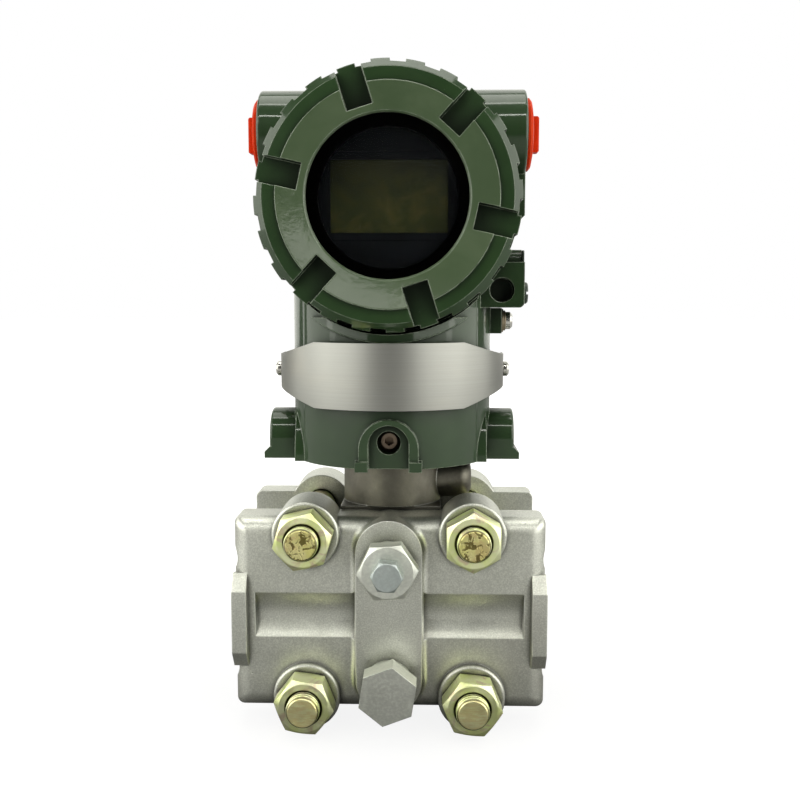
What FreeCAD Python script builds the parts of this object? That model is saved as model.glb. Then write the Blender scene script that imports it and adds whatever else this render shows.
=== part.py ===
import FreeCAD, Part
import math
import os

import Sketcher
from FreeCAD import Placement, Rotation, Vector

# Differential pressure transmitter in millimetres. X runs to the right, Y away from the display side
# and Z up. The origin lies under the middle of the part, on the plane that the flange bosses stand on.

os.makedirs("parts", exist_ok=True)
doc = FreeCAD.newDocument("DifferentialPressureTransmitter")

DIMENSIONS = (
    # process flanges
    ("flange_length", 114.8, "flange along X"),
    ("flange_height", 72.0, "flange along Z"),
    ("flange_inner", 17.2, "middle plane to the flange's inner face"),
    ("flange_face", 34.0, "middle plane to the flange's main outer face"),
    ("flange_rounding", 6.0, "rounding of the long outer edges"),
    ("flange_corner", 2.5, "rounding of the four corners"),
    ("bolt_pitch", 60.6, "square pitch of the flange bolts"),
    ("boss_dia", 24.7, "bolt boss diameter"),
    ("boss_face", 36.8, "middle plane to the boss face"),
    ("boss_rounding", 1.0, "rounding of the boss rim"),
    ("bolt_clearance", 0.5, "radial clearance of the flange bolts"),
    ("pad_face", 38.0, "middle plane to the port pad's face"),
    ("pad_width", 5.4, "port pad along X"),
    ("pad_top", 9.5, "port pad's upper edge above the flange centre"),
    ("pad_bottom", 13.5, "port pad's lower edge below the flange centre"),
    ("pad_slope", 6.0, "height of the slopes into the pad"),
    ("rib_width", 24.2, "middle rib along X"),
    ("rib_face", 38.5, "middle plane to the rib's face"),
    ("rib_crown", 0.4, "rib's crown above the flange's upper face"),
    ("rib_foot", 0.6, "rib's foot above the flange's lower face"),
    ("rib_root", 2.4, "fillet at the rib's root"),
    ("trough_height", 16.6, "trough's mouth along Z"),
    ("trough_depth", 3.0, "depth of the trough"),
    ("trough_start", 12.6, "trough's inner end from the middle"),
    ("trough_end", 49.3, "trough's outer end from the middle"),
    ("chamber_radius", 26.0, "pressure chamber radius"),
    ("chamber_depth", 1.5, "depth of the pressure chamber"),
    ("port_offset", 27.0, "process port from the middle plane"),
    ("port_radius", 5.5, "process port thread radius"),
    ("port_depth", 7.6, "depth of the process port"),
    ("port_seat_radius", 8.8, "gasket seat radius at the port's mouth"),
    ("port_seat_depth", 2.2, "depth of the gasket seat"),
    ("passage_radius", 2.0, "radius of the drilled passages"),
    ("passage_reach", 20.0, "inner end of the port's passage from the middle"),
    ("end_hole_pitch", 41.3, "pitch of the tapped holes on each end"),
    ("end_hole_radius", 4.95, "tapped hole radius on the port end"),
    ("bracket_hole_radius", 4.25, "tapped hole radius on the bracket end"),
    ("end_hole_depth", 16.0, "depth of the tapped holes"),
    # vent and drain plugs
    ("vent_height", 20.4, "vent plug above the flange centre"),
    ("drain_height", 23.8, "drain plug below the flange centre"),
    ("plug_thread_radius", 6.5, "plug thread radius"),
    ("plug_thread_length", 10.0, "plug thread inside the rib"),
    ("plug_collar_radius", 8.7, "collar between rib and hexagon"),
    ("plug_collar_length", 4.4, "length of that collar"),
    ("plug_flats", 19.0, "plug across flats"),
    ("plug_bevel", 1.75, "bevel of the vent plug's corners"),
    ("vent_hex_length", 7.0, "vent plug hexagon length"),
    ("drain_hex_length", 8.6, "drain plug hexagon length"),
    ("vent_screw_radius", 3.0, "vent screw thread radius"),
    ("vent_screw_flats", 10.0, "vent screw across flats"),
    ("vent_screw_head", 5.6, "vent screw head length"),
    ("vent_screw_bevel", 0.9, "bevel of the vent screw's head"),
    ("vent_screw_length", 12.0, "vent screw thread length"),
    ("vent_screw_lift", 0.3, "gap under the vent screw head"),
    # flange bolts and nuts
    ("bolt_radius", 6.0, "flange bolt radius"),
    ("bolt_flats", 19.0, "nut and bolt head across flats"),
    ("nut_length", 10.0, "nut length"),
    ("nut_bevel", 1.25, "bevel of the nut's corners"),
    ("nut_countersink", 0.75, "countersink at the nut's mouths"),
    ("bolt_head", 7.5, "bolt head length"),
    ("bolt_overhang", 4.2, "bolt end beyond the nut"),
    ("bolt_chamfer", 1.1, "chamfer at the bolt's end"),
    ("thread_gap", 0.06, "radial gap of a thread pair"),
    # measuring capsule
    ("capsule_radius", 33.0, "capsule radius"),
    ("gasket_inner", 27.4, "capsule gasket inner radius"),
    ("gasket_outer", 31.0, "capsule gasket outer radius"),
    ("gasket_depth", 1.6, "capsule gasket thickness"),
    ("gasket_play", 0.1, "radial play of gaskets and diaphragms"),
    ("diaphragm_radius", 25.4, "diaphragm radius"),
    ("diaphragm_recess", 1.2, "depth of the diaphragm's recess"),
    ("diaphragm_thickness", 0.4, "diaphragm thickness"),
    ("shoulder_width", 38.0, "capsule's upper block along X"),
    ("shoulder_depth", 33.8, "capsule's upper block along Y"),
    ("shoulder_top", 37.2, "top of that block above the flange centre"),
    ("sensor_neck_radius", 19.0, "cast neck radius"),
    ("spigot_radius", 16.0, "radius of the spigot inside the housing"),
    ("spigot_length", 14.5, "length of the spigot"),
    ("spigot_gap", 0.05, "radial clearance of spigot and housing"),
    ("bulge_radius", 8.0, "radius of the bulge beside the neck"),
    ("bulge_reach", 31.0, "bulge's end from the middle"),
    ("bulge_height", 45.8, "bulge above the flange centre"),
    ("bulge_rounding", 4.5, "rounding of the bulge's end"),
    ("seat_gap", 0.3, "gap between pieces that move on one another"),
    ("header_radius", 9.0, "electrical header radius"),
    ("header_length", 5.0, "electrical header length"),
    ("ring_groove_depth", 1.6, "depth of the neck's seal groove"),
    ("ring_radius", 0.8, "neck seal's cord radius"),
    # housing
    ("foot_height", 97.5, "housing's lower face above the ground plane"),
    ("cover_axis", 95.5, "cover axis above the housing's lower face"),
    ("neck_radius", 38.0, "housing neck radius"),
    ("neck_floor", 14.8, "thickness of the neck's floor"),
    ("neck_wall", 4.5, "neck wall"),
    ("neck_roof", 52.0, "roof of the neck's hollow below the cover axis"),
    ("collar_radius", 39.4, "collar radius at the neck's top"),
    ("collar_drop", 62.0, "collar's lower end below the cover axis"),
    ("saddle_radius", 50.3, "outer radius of the saddle round the covers"),
    ("saddle_gap", 0.8, "gap between saddle and cover"),
    ("barrel_radius", 43.5, "barrel radius"),
    ("barrel_front", 19.7, "barrel's front shoulder before the neck axis"),
    ("barrel_back", 33.7, "barrel's rear shoulder behind the neck axis"),
    ("thread_radius", 40.62, "cover thread radius on the housing"),
    ("front_thread_end", 33.5, "front thread's end before the neck axis"),
    ("rear_thread_end", 44.0, "rear thread's end behind the neck axis"),
    ("chamber_bore", 37.0, "bore radius of both compartments"),
    ("partition_front", 6.0, "partition's front face before the neck axis"),
    ("partition_back", 2.0, "partition's back face before the neck axis"),
    ("conduit_height", 29.0, "conduit axis above the cover axis"),
    ("conduit_depth", 12.0, "conduit axis behind the neck axis"),
    ("conduit_boss", 17.2, "conduit boss radius"),
    ("conduit_end", 51.5, "conduit boss end from the middle"),
    ("conduit_bore", 10.3, "conduit bore radius"),
    ("conduit_start", 20.0, "inner end of the conduit bore"),
    ("web_width", 14.0, "web under the conduit boss along Y"),
    ("web_drop", 6.0, "web's lower end below the cover axis"),
    ("web_slope", 3.5, "slope at the web's lower end"),
    ("wire_radius", 4.5, "wire passage radius"),
    ("wire_depth", 13.0, "wire passage before the neck axis"),
    # lugs at the foot of the neck
    ("lug_root", 34.5, "inner end of the lugs from the middle"),
    ("side_pad_root", 24.0, "inner end of the side lug's pad from the middle"),
    ("lug_half", 10.7, "half width of the arched lugs"),
    ("lug_crown", 77.4, "lug crown below the cover axis"),
    ("lug_drop", 0.4, "lug foot below the housing's lower face"),
    ("side_lug_reach", 47.0, "side lug's end from the middle"),
    ("side_pad_half", 20.0, "half width of the side lug's pad"),
    ("side_pad_crown", 73.3, "crown of that pad below the cover axis"),
    ("side_pad_reach", 36.0, "pad's face from the middle"),
    ("foot_flare", 2.0, "flare of the lug's foot"),
    ("foot_thickness", 2.5, "height of the flared foot"),
    ("arch_face", 39.6, "arch rim's face from the middle"),
    ("arch_foot_face", 41.0, "arch foot's face from the middle"),
    ("arch_floor", 35.6, "arch pocket's floor from the middle"),
    ("arch_wall", 3.4, "width of the arch rim at its legs"),
    ("arch_crown_wall", 2.0, "width of the arch rim at its crown"),
    ("arch_ear", 1.25, "reach of the arch's feet beyond its rim"),
    ("arch_hole_height", 86.1, "set screw below the cover axis"),
    ("set_screw_radius", 4.2, "set screw radius"),
    ("set_screw_face", 2.9, "radius of the set screw's outer face"),
    ("set_screw_outer", 31.0, "set screw's outer end from the middle"),
    ("socket_flats", 3.0, "set screw socket across flats"),
    ("socket_depth", 4.0, "set screw socket depth"),
    ("groove_radius", 15.0, "spigot groove radius under the set screws"),
    ("groove_height", 9.0, "height of that groove"),
    # adjustment lug and earth terminal
    ("adjust_left", 30.0, "adjustment lug's left side"),
    ("adjust_right", 49.5, "adjustment lug's right side"),
    ("adjust_bottom", 38.0, "lug's lower face below the cover axis"),
    ("adjust_top", 21.3, "lug's upper face below the cover axis"),
    ("adjust_front", 18.4, "lug's front face before the neck axis"),
    ("adjust_back", 3.0, "lug's back face behind the neck axis"),
    ("adjust_rounding", 2.0, "rounding of the lug's lower edge"),
    ("adjust_hole_x", 41.2, "lug hole from the middle"),
    ("adjust_hole_drop", 31.5, "lug hole below the cover axis"),
    ("adjust_hole_radius", 4.5, "lug hole radius"),
    ("adjust_hole_depth", 7.5, "depth of the lug hole"),
    ("lobe_radius", 4.6, "upper lobe radius"),
    ("lobe_drop", 20.8, "upper lobe below the cover axis"),
    ("adjust_screw_y", 4.0, "adjustment screw and lobe before the neck axis"),
    ("cap_thickness", 0.6, "adjustment plate thickness"),
    ("cap_width", 11.0, "adjustment plate along Y"),
    ("cap_height", 19.4, "adjustment plate along Z"),
    ("cap_corner", 1.5, "corner radius of the adjustment plate"),
    ("adjust_screw_radius", 4.1, "adjustment screw head radius"),
    ("adjust_screw_head", 1.5, "adjustment screw head length"),
    ("adjust_screw_bevel", 0.5, "bevel of the adjustment screw's head"),
    ("adjust_stem_radius", 2.0, "adjustment screw stem radius"),
    ("adjust_stem_length", 7.0, "adjustment screw stem length"),
    ("adjust_slot", 1.0, "width of the adjustment screw's slot"),
    ("adjust_screw_drop", 32.6, "adjustment screw below the cover axis"),
    ("earth_width", 9.7, "earth terminal boss width"),
    ("earth_reach", 42.2, "earth boss face from the middle"),
    ("earth_drop", 43.2, "earth terminal below the cover axis"),
    ("earth_screw_radius", 2.0, "earth screw radius"),
    ("earth_head_radius", 3.4, "earth screw head radius"),
    ("earth_head", 2.7, "earth screw head length"),
    ("earth_thread", 7.0, "earth screw length under the head"),
    ("washer_radius", 4.5, "earth washer radius"),
    ("lock_washer_radius", 3.9, "earth lock washer radius"),
    ("washer_thickness", 0.8, "earth washer thickness"),
    # nameplate
    ("plate_radius", 42.6, "nameplate's inner radius"),
    ("plate_thickness", 0.6, "nameplate thickness"),
    ("plate_bottom", 21.7, "nameplate's lower edge above the housing's lower face"),
    ("plate_height", 23.7, "nameplate height"),
    ("plate_flat", 26.9, "half length of its straight edges"),
    ("plate_end_height", 12.2, "height of its ends"),
    ("plate_tab", 5.0, "end tabs behind the neck axis"),
    ("plate_boss_radius", 4.4, "nameplate boss radius"),
    ("plate_boss_gap", 0.25, "gap between boss and nameplate"),
    ("plate_screw_radius", 1.5, "nameplate screw radius"),
    ("plate_screw_head", 2.9, "nameplate screw head radius"),
    ("plate_screw_height", 2.2, "nameplate screw head height"),
    ("plate_screw_length", 7.0, "depth of the nameplate screw's hole"),
    ("hole_margin", 1.0, "free depth under a screw in a blind hole"),
    # covers
    ("cover_radius", 46.5, "cover radius"),
    ("cover_face", 46.0, "front cover's face before the neck axis"),
    ("rear_cover_face", 55.5, "rear cover's face behind the neck axis"),
    ("step_top_radius", 38.4, "outer radius of the raised face"),
    ("step_foot_radius", 43.3, "outer radius of the band round the step"),
    ("face_dish", 1.0, "fall of the raised face towards the window"),
    ("step_fall", 2.0, "height of the step round the raised face"),
    ("rim_fall", 4.4, "fall at the rim"),
    ("rim_rounding", 0.6, "chamfer of the rim"),
    ("slot_width", 9.3, "wrench slot width"),
    ("slot_start", 30.9, "wrench slot's inner end radius"),
    ("slot_fall", 6.5, "wrench slot depth"),
    ("notch_width", 5.6, "grip notch width"),
    ("notch_radius", 45.2, "radius at the bottom of the notches"),
    ("notch_length", 14.0, "grip notch length"),
    ("notch_lead", 6.8, "angle between a slot and the next notch"),
    ("slot_lead", 17.5, "angle of the upper slot from the vertical"),
    ("window_radius", 28.0, "window opening radius"),
    ("window_bevel", 0.6, "bevel round the window"),
    ("window_lip", 1.4, "thickness of the lip before the glass"),
    ("glass_radius", 29.6, "glass radius"),
    ("glass_thickness", 5.0, "glass thickness"),
    ("glass_gap", 0.05, "radial clearance of the glass"),
    ("window_gasket", 0.5, "window gasket thickness"),
    ("retainer_inner", 24.5, "retaining ring's inner radius"),
    ("retainer_thickness", 2.5, "retaining ring's thickness"),
    ("retainer_slot", 2.0, "width of the retaining ring's slots"),
    ("cover_inner_front", 35.0, "front cover's inner face before the neck axis"),
    ("cover_inner_rear", 45.5, "rear cover's inner face behind the neck axis"),
    ("seal_radius", 0.95, "cover seal's cord radius"),
    ("seal_offset", 3.0, "cover seal from the cover's open end"),
    ("seal_play", 0.04, "play of the cover seal in its groove"),
    # inside the housing
    ("board_radius", 35.0, "circuit board radius"),
    ("board_thickness", 1.6, "circuit board thickness"),
    ("spacer_radius", 3.0, "spacer radius"),
    ("spacer_pitch", 44.0, "square pitch of the spacers"),
    ("lower_spacer", 5.0, "spacer under the amplifier board"),
    ("upper_spacer", 12.8, "spacer under the display board"),
    ("display_width", 44.0, "display along X"),
    ("display_height", 28.0, "display along Z"),
    ("display_lift", 1.3, "display above the cover axis"),
    ("display_thickness", 3.4, "display thickness"),
    ("display_margin", 1.2, "frame's overlap on the display"),
    ("frame_radius", 35.8, "display frame radius"),
    ("frame_thickness", 1.8, "display frame thickness"),
    ("frame_band", 31.0, "height of the frame's recessed band"),
    ("frame_band_depth", 0.6, "depth of the recessed band"),
    ("block_width", 50.0, "terminal block along X"),
    ("block_height", 26.0, "terminal block along Z"),
    ("block_thickness", 13.0, "terminal block along Y"),
    ("block_drop", 7.0, "terminal block below the cover axis"),
    ("terminal_pitch", 12.0, "pitch of the terminals"),
    ("terminal_slot", 9.0, "width of a terminal's recess"),
    ("terminal_recess", 5.0, "depth of a terminal's recess"),
    ("terminal_screw_radius", 3.0, "terminal screw head radius"),
    ("terminal_screw_head", 2.4, "terminal screw head height"),
    ("cable_width", 8.0, "ribbon cable width"),
    ("cable_thickness", 0.8, "ribbon cable thickness"),
    ("cable_start", 23.0, "ribbon cable's upper end below the cover axis"),
    ("cable_bend", 5.0, "height of the ribbon cable's bends"),
    # conduit plugs
    ("plug_play", 0.06, "radial play of the conduit plug"),
    ("plug_wall", 1.6, "wall of the conduit plug"),
    ("plug_stem_length", 13.0, "conduit plug stem length"),
    ("plug_flange_radius", 14.0, "conduit plug flange radius"),
    ("plug_flange", 2.4, "conduit plug flange thickness"),
    ("plug_rim", 1.0, "thickness of that flange's rim"),
    ("plug_dome_radius", 12.9, "radius where the flange's dome begins"),
    ("plug_dome_height", 1.9, "height where the flange's dome begins"),
    ("grip_height", 13.8, "conduit plug grip along Z"),
    ("grip_width", 5.0, "conduit plug grip along Y"),
    ("grip_length", 2.9, "conduit plug grip along X"),
)


def term(value):
    """Any number as a Size."""
    return value if isinstance(value, Size) else Size(value, f"{value:g}")


class Size:
    """A number together with the sheet formula that it comes from."""

    def __init__(self, value, text):
        self.value = float(value)
        self.text = text

    def __add__(self, other):
        other = term(other)
        return Size(self.value + other.value, f"({self.text} + {other.text})")

    def __sub__(self, other):
        other = term(other)
        return Size(self.value - other.value, f"({self.text} - {other.text})")

    def __mul__(self, other):
        other = term(other)
        return Size(self.value * other.value, f"({self.text} * {other.text})")

    def __truediv__(self, other):
        other = term(other)
        return Size(self.value / other.value, f"({self.text} / {other.text})")

    def __neg__(self):
        return Size(-self.value, f"(0 - {self.text})")

    __radd__ = __add__
    __rmul__ = __mul__

    def __rsub__(self, other):
        return term(other) - self


class Sheet:
    """The driving dimensions, one attribute for each alias."""


d = Sheet()
sheet = doc.addObject("Spreadsheet::Sheet", "Sizes")
for row, (alias, value, note) in enumerate(DIMENSIONS, start=1):
    sheet.set(f"A{row}", note)
    sheet.set(f"B{row}", f"{value:g}")
    sheet.setAlias(f"B{row}", alias)
    setattr(d, alias, Size(value, f"Sizes.{alias}"))
doc.recompute()

FRONT, REAR = "front", "rear"
HALF_TURN = 180.0
FULL_TURN = 360.0
SLOTS = 6
NOTCHES = 24
OVERLAP = 2.0          # how far a feature starts inside the one it joins
BEYOND = 3.0           # how far a cut runs past the face it opens
HEX_CORNER = 1.0 / math.sqrt(3.0)
CROWN_SHARE = 1.0 / 3.0    # share of a pan head's height that its sloping crown takes
CROSS_ARM = 0.25           # width of a cross recess over the head's radius
ANY = (-1000.0, 1000.0)


def span(a, b):
    """Two sizes in rising order."""
    a, b = term(a), term(b)
    return (a, b) if a.value <= b.value else (b, a)


def settle(feature):
    """Recompute, and stop on a feature that failed."""
    doc.recompute()
    if "Invalid" in feature.State or feature.Shape.isNull() or not feature.Shape.Solids:
        raise ValueError(f"{feature.Name} failed: {feature.State}")
    return feature


def new_body(label, x=0.0, y=0.0, z=0.0, axis=(0, 0, 1), angle=0.0):
    body = doc.addObject("PartDesign::Body", label)
    body.Label = label
    place(body, x, y, z, axis, angle)
    return body


def place(piece, x=0.0, y=0.0, z=0.0, axis=(0, 0, 1), angle=0.0):
    """Put a piece in the frame, each coordinate bound to the sheet."""
    x, y, z, angle = term(x), term(y), term(z), term(angle)
    piece.Placement = Placement(Vector(x.value, y.value, z.value), Rotation(Vector(*axis), angle.value))
    for name, size in (("x", x), ("y", y), ("z", z)):
        piece.setExpression(f"Placement.Base.{name}", size.text)


def sketch_on(body, plane, offset):
    """Empty sketch parallel to one of the body's own origin planes."""
    offset = term(offset)
    support = next(f for f in body.Origin.OriginFeatures if f.Role == f"{plane}_Plane")
    sketch = body.newObject("Sketcher::SketchObject", f"{body.Name}_sketch")
    sketch.AttachmentSupport = [(support, "")]
    sketch.MapMode = "FlatFace"
    sketch.AttachmentOffset = Placement(Vector(0, 0, offset.value), Rotation())
    sketch.setExpression("AttachmentOffset.Base.z", offset.text)
    return sketch


def fix(sketch, kind, geometry, point, size):
    """One driving coordinate, radius or height, bound to the sheet."""
    size = term(size)
    place_args = (geometry,) if point is None else (geometry, point)
    number = sketch.addConstraint(Sketcher.Constraint(kind, *place_args, size.value))
    sketch.setExpression(f"Constraints[{number}]", size.text)


def circle(u, v, radius):
    u, v, radius = term(u), term(v), term(radius)

    def draw(sketch):
        shape = Part.Circle(Vector(u.value, v.value, 0), Vector(0, 0, 1), radius.value)
        number = sketch.addGeometry(shape, False)
        fix(sketch, "Radius", number, None, radius)
        fix(sketch, "DistanceX", number, 3, u)
        fix(sketch, "DistanceY", number, 3, v)
    return draw


def polygon(points):
    points = [(term(u), term(v)) for u, v in points]

    def draw(sketch):
        numbers = []
        for start, end in zip(points, points[1:] + points[:1]):
            line = Part.LineSegment(Vector(start[0].value, start[1].value, 0),
                                    Vector(end[0].value, end[1].value, 0))
            numbers.append(sketch.addGeometry(line, False))
        for number, following, (u, v) in zip(numbers, numbers[1:] + numbers[:1], points):
            sketch.addConstraint(Sketcher.Constraint("Coincident", number, 2, following, 1))
            fix(sketch, "DistanceX", number, 1, u)
            fix(sketch, "DistanceY", number, 1, v)
    return draw


def rectangle(left, bottom, right, top):
    return polygon([(left, bottom), (right, bottom), (right, top), (left, top)])


def arch(u, half, foot, crown):
    """Upright arch: straight legs from the foot, a half circle up to the crown."""
    u, half, foot, crown = term(u), term(half), term(foot), term(crown)
    spring = crown - half

    def draw(sketch):
        corners = [(u + half, spring), (u - half, spring), (u - half, foot), (u + half, foot)]
        center = Vector(u.value, spring.value, 0)
        bow = Part.ArcOfCircle(Part.Circle(center, Vector(0, 0, 1), half.value), 0, math.pi)
        numbers = [sketch.addGeometry(bow, False)]
        for start, end in zip(corners[1:], corners[2:] + corners[:1]):
            line = Part.LineSegment(Vector(start[0].value, start[1].value, 0),
                                    Vector(end[0].value, end[1].value, 0))
            numbers.append(sketch.addGeometry(line, False))
        for number, following, corner in zip(numbers, numbers[1:] + numbers[:1], corners):
            sketch.addConstraint(Sketcher.Constraint("Coincident", number, 2, following, 1))
            fix(sketch, "DistanceX", number, 1, corner[0])
            fix(sketch, "DistanceY", number, 1, corner[1])
        fix(sketch, "DistanceY", numbers[0], 3, spring)
    return draw


def hexagon(u, v, flats, turn):
    """Regular hexagon; turn is the first corner's angle from the sketch's own X."""
    u, v, flats = term(u), term(v), term(flats)
    corner = flats * HEX_CORNER
    angles = [math.radians(turn + 60.0 * step) for step in range(6)]
    return polygon([(u + corner * math.cos(a), v + corner * math.sin(a)) for a in angles])


def prism(body, plane, low, high, *outlines):
    """Pad that fills the outlines between two heights on the plane's axis."""
    low, high = term(low), term(high)
    sketch = sketch_on(body, plane, -high if plane == "XZ" else low)
    for draw in outlines:
        draw(sketch)
    pad = body.newObject("PartDesign::Pad", f"{body.Name}_pad")
    pad.Profile = sketch
    pad.setExpression("Length", (high - low).text)
    return settle(pad)


def cut(body, plane, low, high, *outlines):
    """Pocket that clears the outlines between two heights on the plane's axis."""
    low, high = term(low), term(high)
    sketch = sketch_on(body, plane, -low if plane == "XZ" else high)
    for draw in outlines:
        draw(sketch)
    before = body.Shape.Volume
    pocket = body.newObject("PartDesign::Pocket", f"{body.Name}_pocket")
    pocket.Profile = sketch
    pocket.setExpression("Length", (high - low).text)
    settle(pocket)
    if body.Shape.Volume >= before:
        raise ValueError(f"{pocket.Name} takes nothing away")
    return pocket


def spin(body, axis, points, kind="PartDesign::Revolution"):
    """Turn a profile of (along, radius) points about the body's own X, Y or Z."""
    plane = "YZ" if axis == "Y" else "XZ"
    if axis == "Z":
        points = [(radius, along) for along, radius in points]
    sketch = sketch_on(body, plane, 0)
    polygon(points)(sketch)
    feature = body.newObject(kind, f"{body.Name}_turned")
    feature.Profile = sketch
    feature.ReferenceAxis = (sketch, ["V_Axis" if axis == "Z" else "H_Axis"])
    feature.Angle = FULL_TURN
    return settle(feature)


def groove(body, axis, points):
    before = body.Shape.Volume
    feature = spin(body, axis, points, "PartDesign::Groove")
    if body.Shape.Volume >= before:
        raise ValueError(f"{feature.Name} takes nothing away")
    return feature


def repeat(body, feature, axis, count):
    """Copies of a feature spread evenly round an axis of the body."""
    pattern = body.newObject("PartDesign::PolarPattern", f"{body.Name}_pattern")
    pattern.Originals = [feature]
    line = next(f for f in body.Origin.OriginFeatures if f.Role == f"{axis}_Axis")
    pattern.Axis = (line, [""])
    pattern.Angle = FULL_TURN
    pattern.Occurrences = count
    body.Tip = pattern
    return settle(pattern)


def edges_in(body, x=ANY, y=ANY, z=ANY, margin=0.02):
    """Names of the edges that lie inside a box, in the body's own coordinates."""
    bounds = [(min(term(a).value, term(b).value) - margin, max(term(a).value, term(b).value) + margin)
              for a, b in (x, y, z)]
    names = []
    for number, edge in enumerate(body.Tip.Shape.Edges, start=1):
        box = edge.BoundBox
        spans = ((box.XMin, box.XMax), (box.YMin, box.YMax), (box.ZMin, box.ZMax))
        if all(low <= a and b <= high for (low, high), (a, b) in zip(bounds, spans)):
            names.append(f"Edge{number}")
    return names


def soften(body, names, size, kind="PartDesign::Fillet"):
    """Fillet or chamfer on the named edges of the body's last feature."""
    base = body.Tip
    feature = body.newObject(kind, f"{body.Name}_edge")
    feature.Base = (base, names)
    feature.setExpression("Radius" if kind.endswith("Fillet") else "Size", term(size).text)
    return settle(feature)


def turned_body(label, axis, points, **where):
    body = new_body(label, **where)
    spin(body, axis, points)
    return body


def primitive(kind, label, sizes, **where):
    """Part primitive whose named sizes are bound to the sheet."""
    piece = doc.addObject(f"Part::{kind}", label)
    piece.Label = label
    for name, size in sizes.items():
        piece.setExpression(name, term(size).text)
    place(piece, **where)
    doc.recompute()
    return piece


nodes = []


def keep(*pieces):
    nodes.extend(pieces)


# Process flanges. Each is drawn facing -Y; the rear one is turned half round the Z axis, with its
# process port drawn on the other end so that both ports lie on the left.

flange_z = d.bolt_pitch / 2 + d.boss_dia / 2
flange_end = d.flange_length / 2
flange_half = d.flange_height / 2
half_pitch = d.bolt_pitch / 2
boss_centers = [(sx * half_pitch, sz * half_pitch) for sx in (-1, 1) for sz in (-1, 1)]
trough_radius = (d.trough_height * d.trough_height / 4 + d.trough_depth * d.trough_depth) / (d.trough_depth * 2)


def flange(label, port_side, turn):
    body = new_body(label, z=flange_z, angle=turn)
    prism(body, "XZ", -d.flange_face, -d.flange_inner,
          rectangle(-flange_end, -flange_half, flange_end, flange_half))
    soften(body, [name for sx in (-1, 1) for sz in (-1, 1)
                  for name in edges_in(body, (sx * flange_end, sx * flange_end), ANY,
                                       (sz * flange_half, sz * flange_half))], d.flange_corner)
    outer = (-d.flange_face, -d.flange_face)
    soften(body, [name for sz in (-1, 1)
                  for name in edges_in(body, ANY, outer, (sz * flange_half, sz * flange_half))],
           d.flange_rounding)
    prism(body, "XZ", -d.boss_face, -d.flange_inner, *[circle(u, v, d.boss_dia / 2) for u, v in boss_centers])
    soften(body, edges_in(body, ANY, (-d.boss_face, -d.boss_face), ANY), d.boss_rounding)
    rib_side = d.rib_width / 2
    lower_round = d.rib_foot - flange_half + rib_side
    prism(body, "XZ", -d.rib_face, -d.flange_inner - OVERLAP,
          arch(0, rib_side, lower_round, flange_half + d.rib_crown))
    prism(body, "XZ", -d.rib_face, -d.flange_inner - OVERLAP, circle(0, lower_round, rib_side))
    soften(body, edges_in(body, (-rib_side, rib_side), outer,
                          (-flange_half + d.flange_rounding, flange_half - d.flange_rounding)), d.rib_root)
    pad_foot = -d.flange_face + OVERLAP
    for side in (-1, 1):
        inner, outer_end = flange_end - d.pad_width, flange_end
        low, high = (inner, outer_end) if side > 0 else (-outer_end, -inner)
        prism(body, "YZ", low, high,
              polygon([(pad_foot, -d.pad_bottom - d.pad_slope), (-d.flange_face, -d.pad_bottom - d.pad_slope),
                       (-d.pad_face, -d.pad_bottom), (-d.pad_face, d.pad_top),
                       (-d.flange_face, d.pad_top + d.pad_slope), (pad_foot, d.pad_top + d.pad_slope)]))
    axis_y = -d.flange_face - trough_radius + d.trough_depth
    cut(body, "YZ", d.trough_start, d.trough_end, circle(axis_y, 0, trough_radius))
    cut(body, "YZ", -d.trough_end, -d.trough_start, circle(axis_y, 0, trough_radius))
    cut(body, "XZ", -d.boss_face - BEYOND, -d.flange_inner + BEYOND,
        *[circle(u, v, d.bolt_radius + d.bolt_clearance) for u, v in boss_centers])
    cut(body, "XZ", -d.flange_inner - d.chamber_depth, -d.flange_inner + BEYOND, circle(0, 0, d.chamber_radius))
    threads = [circle(0, d.vent_height, d.plug_thread_radius + d.thread_gap),
               circle(0, -d.drain_height, d.plug_thread_radius + d.thread_gap)]
    cut(body, "XZ", -d.rib_face - BEYOND, -d.rib_face + d.plug_thread_length, *threads)
    cut(body, "XZ", -d.rib_face + d.plug_thread_length - OVERLAP, -d.flange_inner,
        circle(0, d.vent_height, d.passage_radius), circle(0, -d.drain_height, d.passage_radius))

    def end_cut(side, reach, *outlines):
        edge = flange_end + BEYOND
        low, high = (reach, edge) if side > 0 else (-edge, -reach)
        cut(body, "YZ", low, high, *outlines)

    for side in (-1, 1):
        radius = d.end_hole_radius if side == port_side else d.bracket_hole_radius
        end_cut(side, flange_end - d.end_hole_depth,
                *[circle(-d.port_offset, sz * d.end_hole_pitch / 2, radius) for sz in (-1, 1)])
    end_cut(port_side, flange_end - d.port_seat_depth, circle(-d.port_offset, 0, d.port_seat_radius))
    end_cut(port_side, flange_end - d.port_depth, circle(-d.port_offset, 0, d.port_radius))
    end_cut(port_side, d.passage_reach, circle(-d.port_offset, 0, d.passage_radius))
    cut(body, "XZ", -d.port_offset, -d.flange_inner,
        circle(port_side * (d.passage_reach + d.passage_radius), 0, d.passage_radius))
    keep(body)


flange("front_flange", -1, 0.0)
flange("rear_flange", 1, HALF_TURN)

# Bolts through both flanges, heads at the rear and nuts at the front. The nuts stand as tightened.

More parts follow.
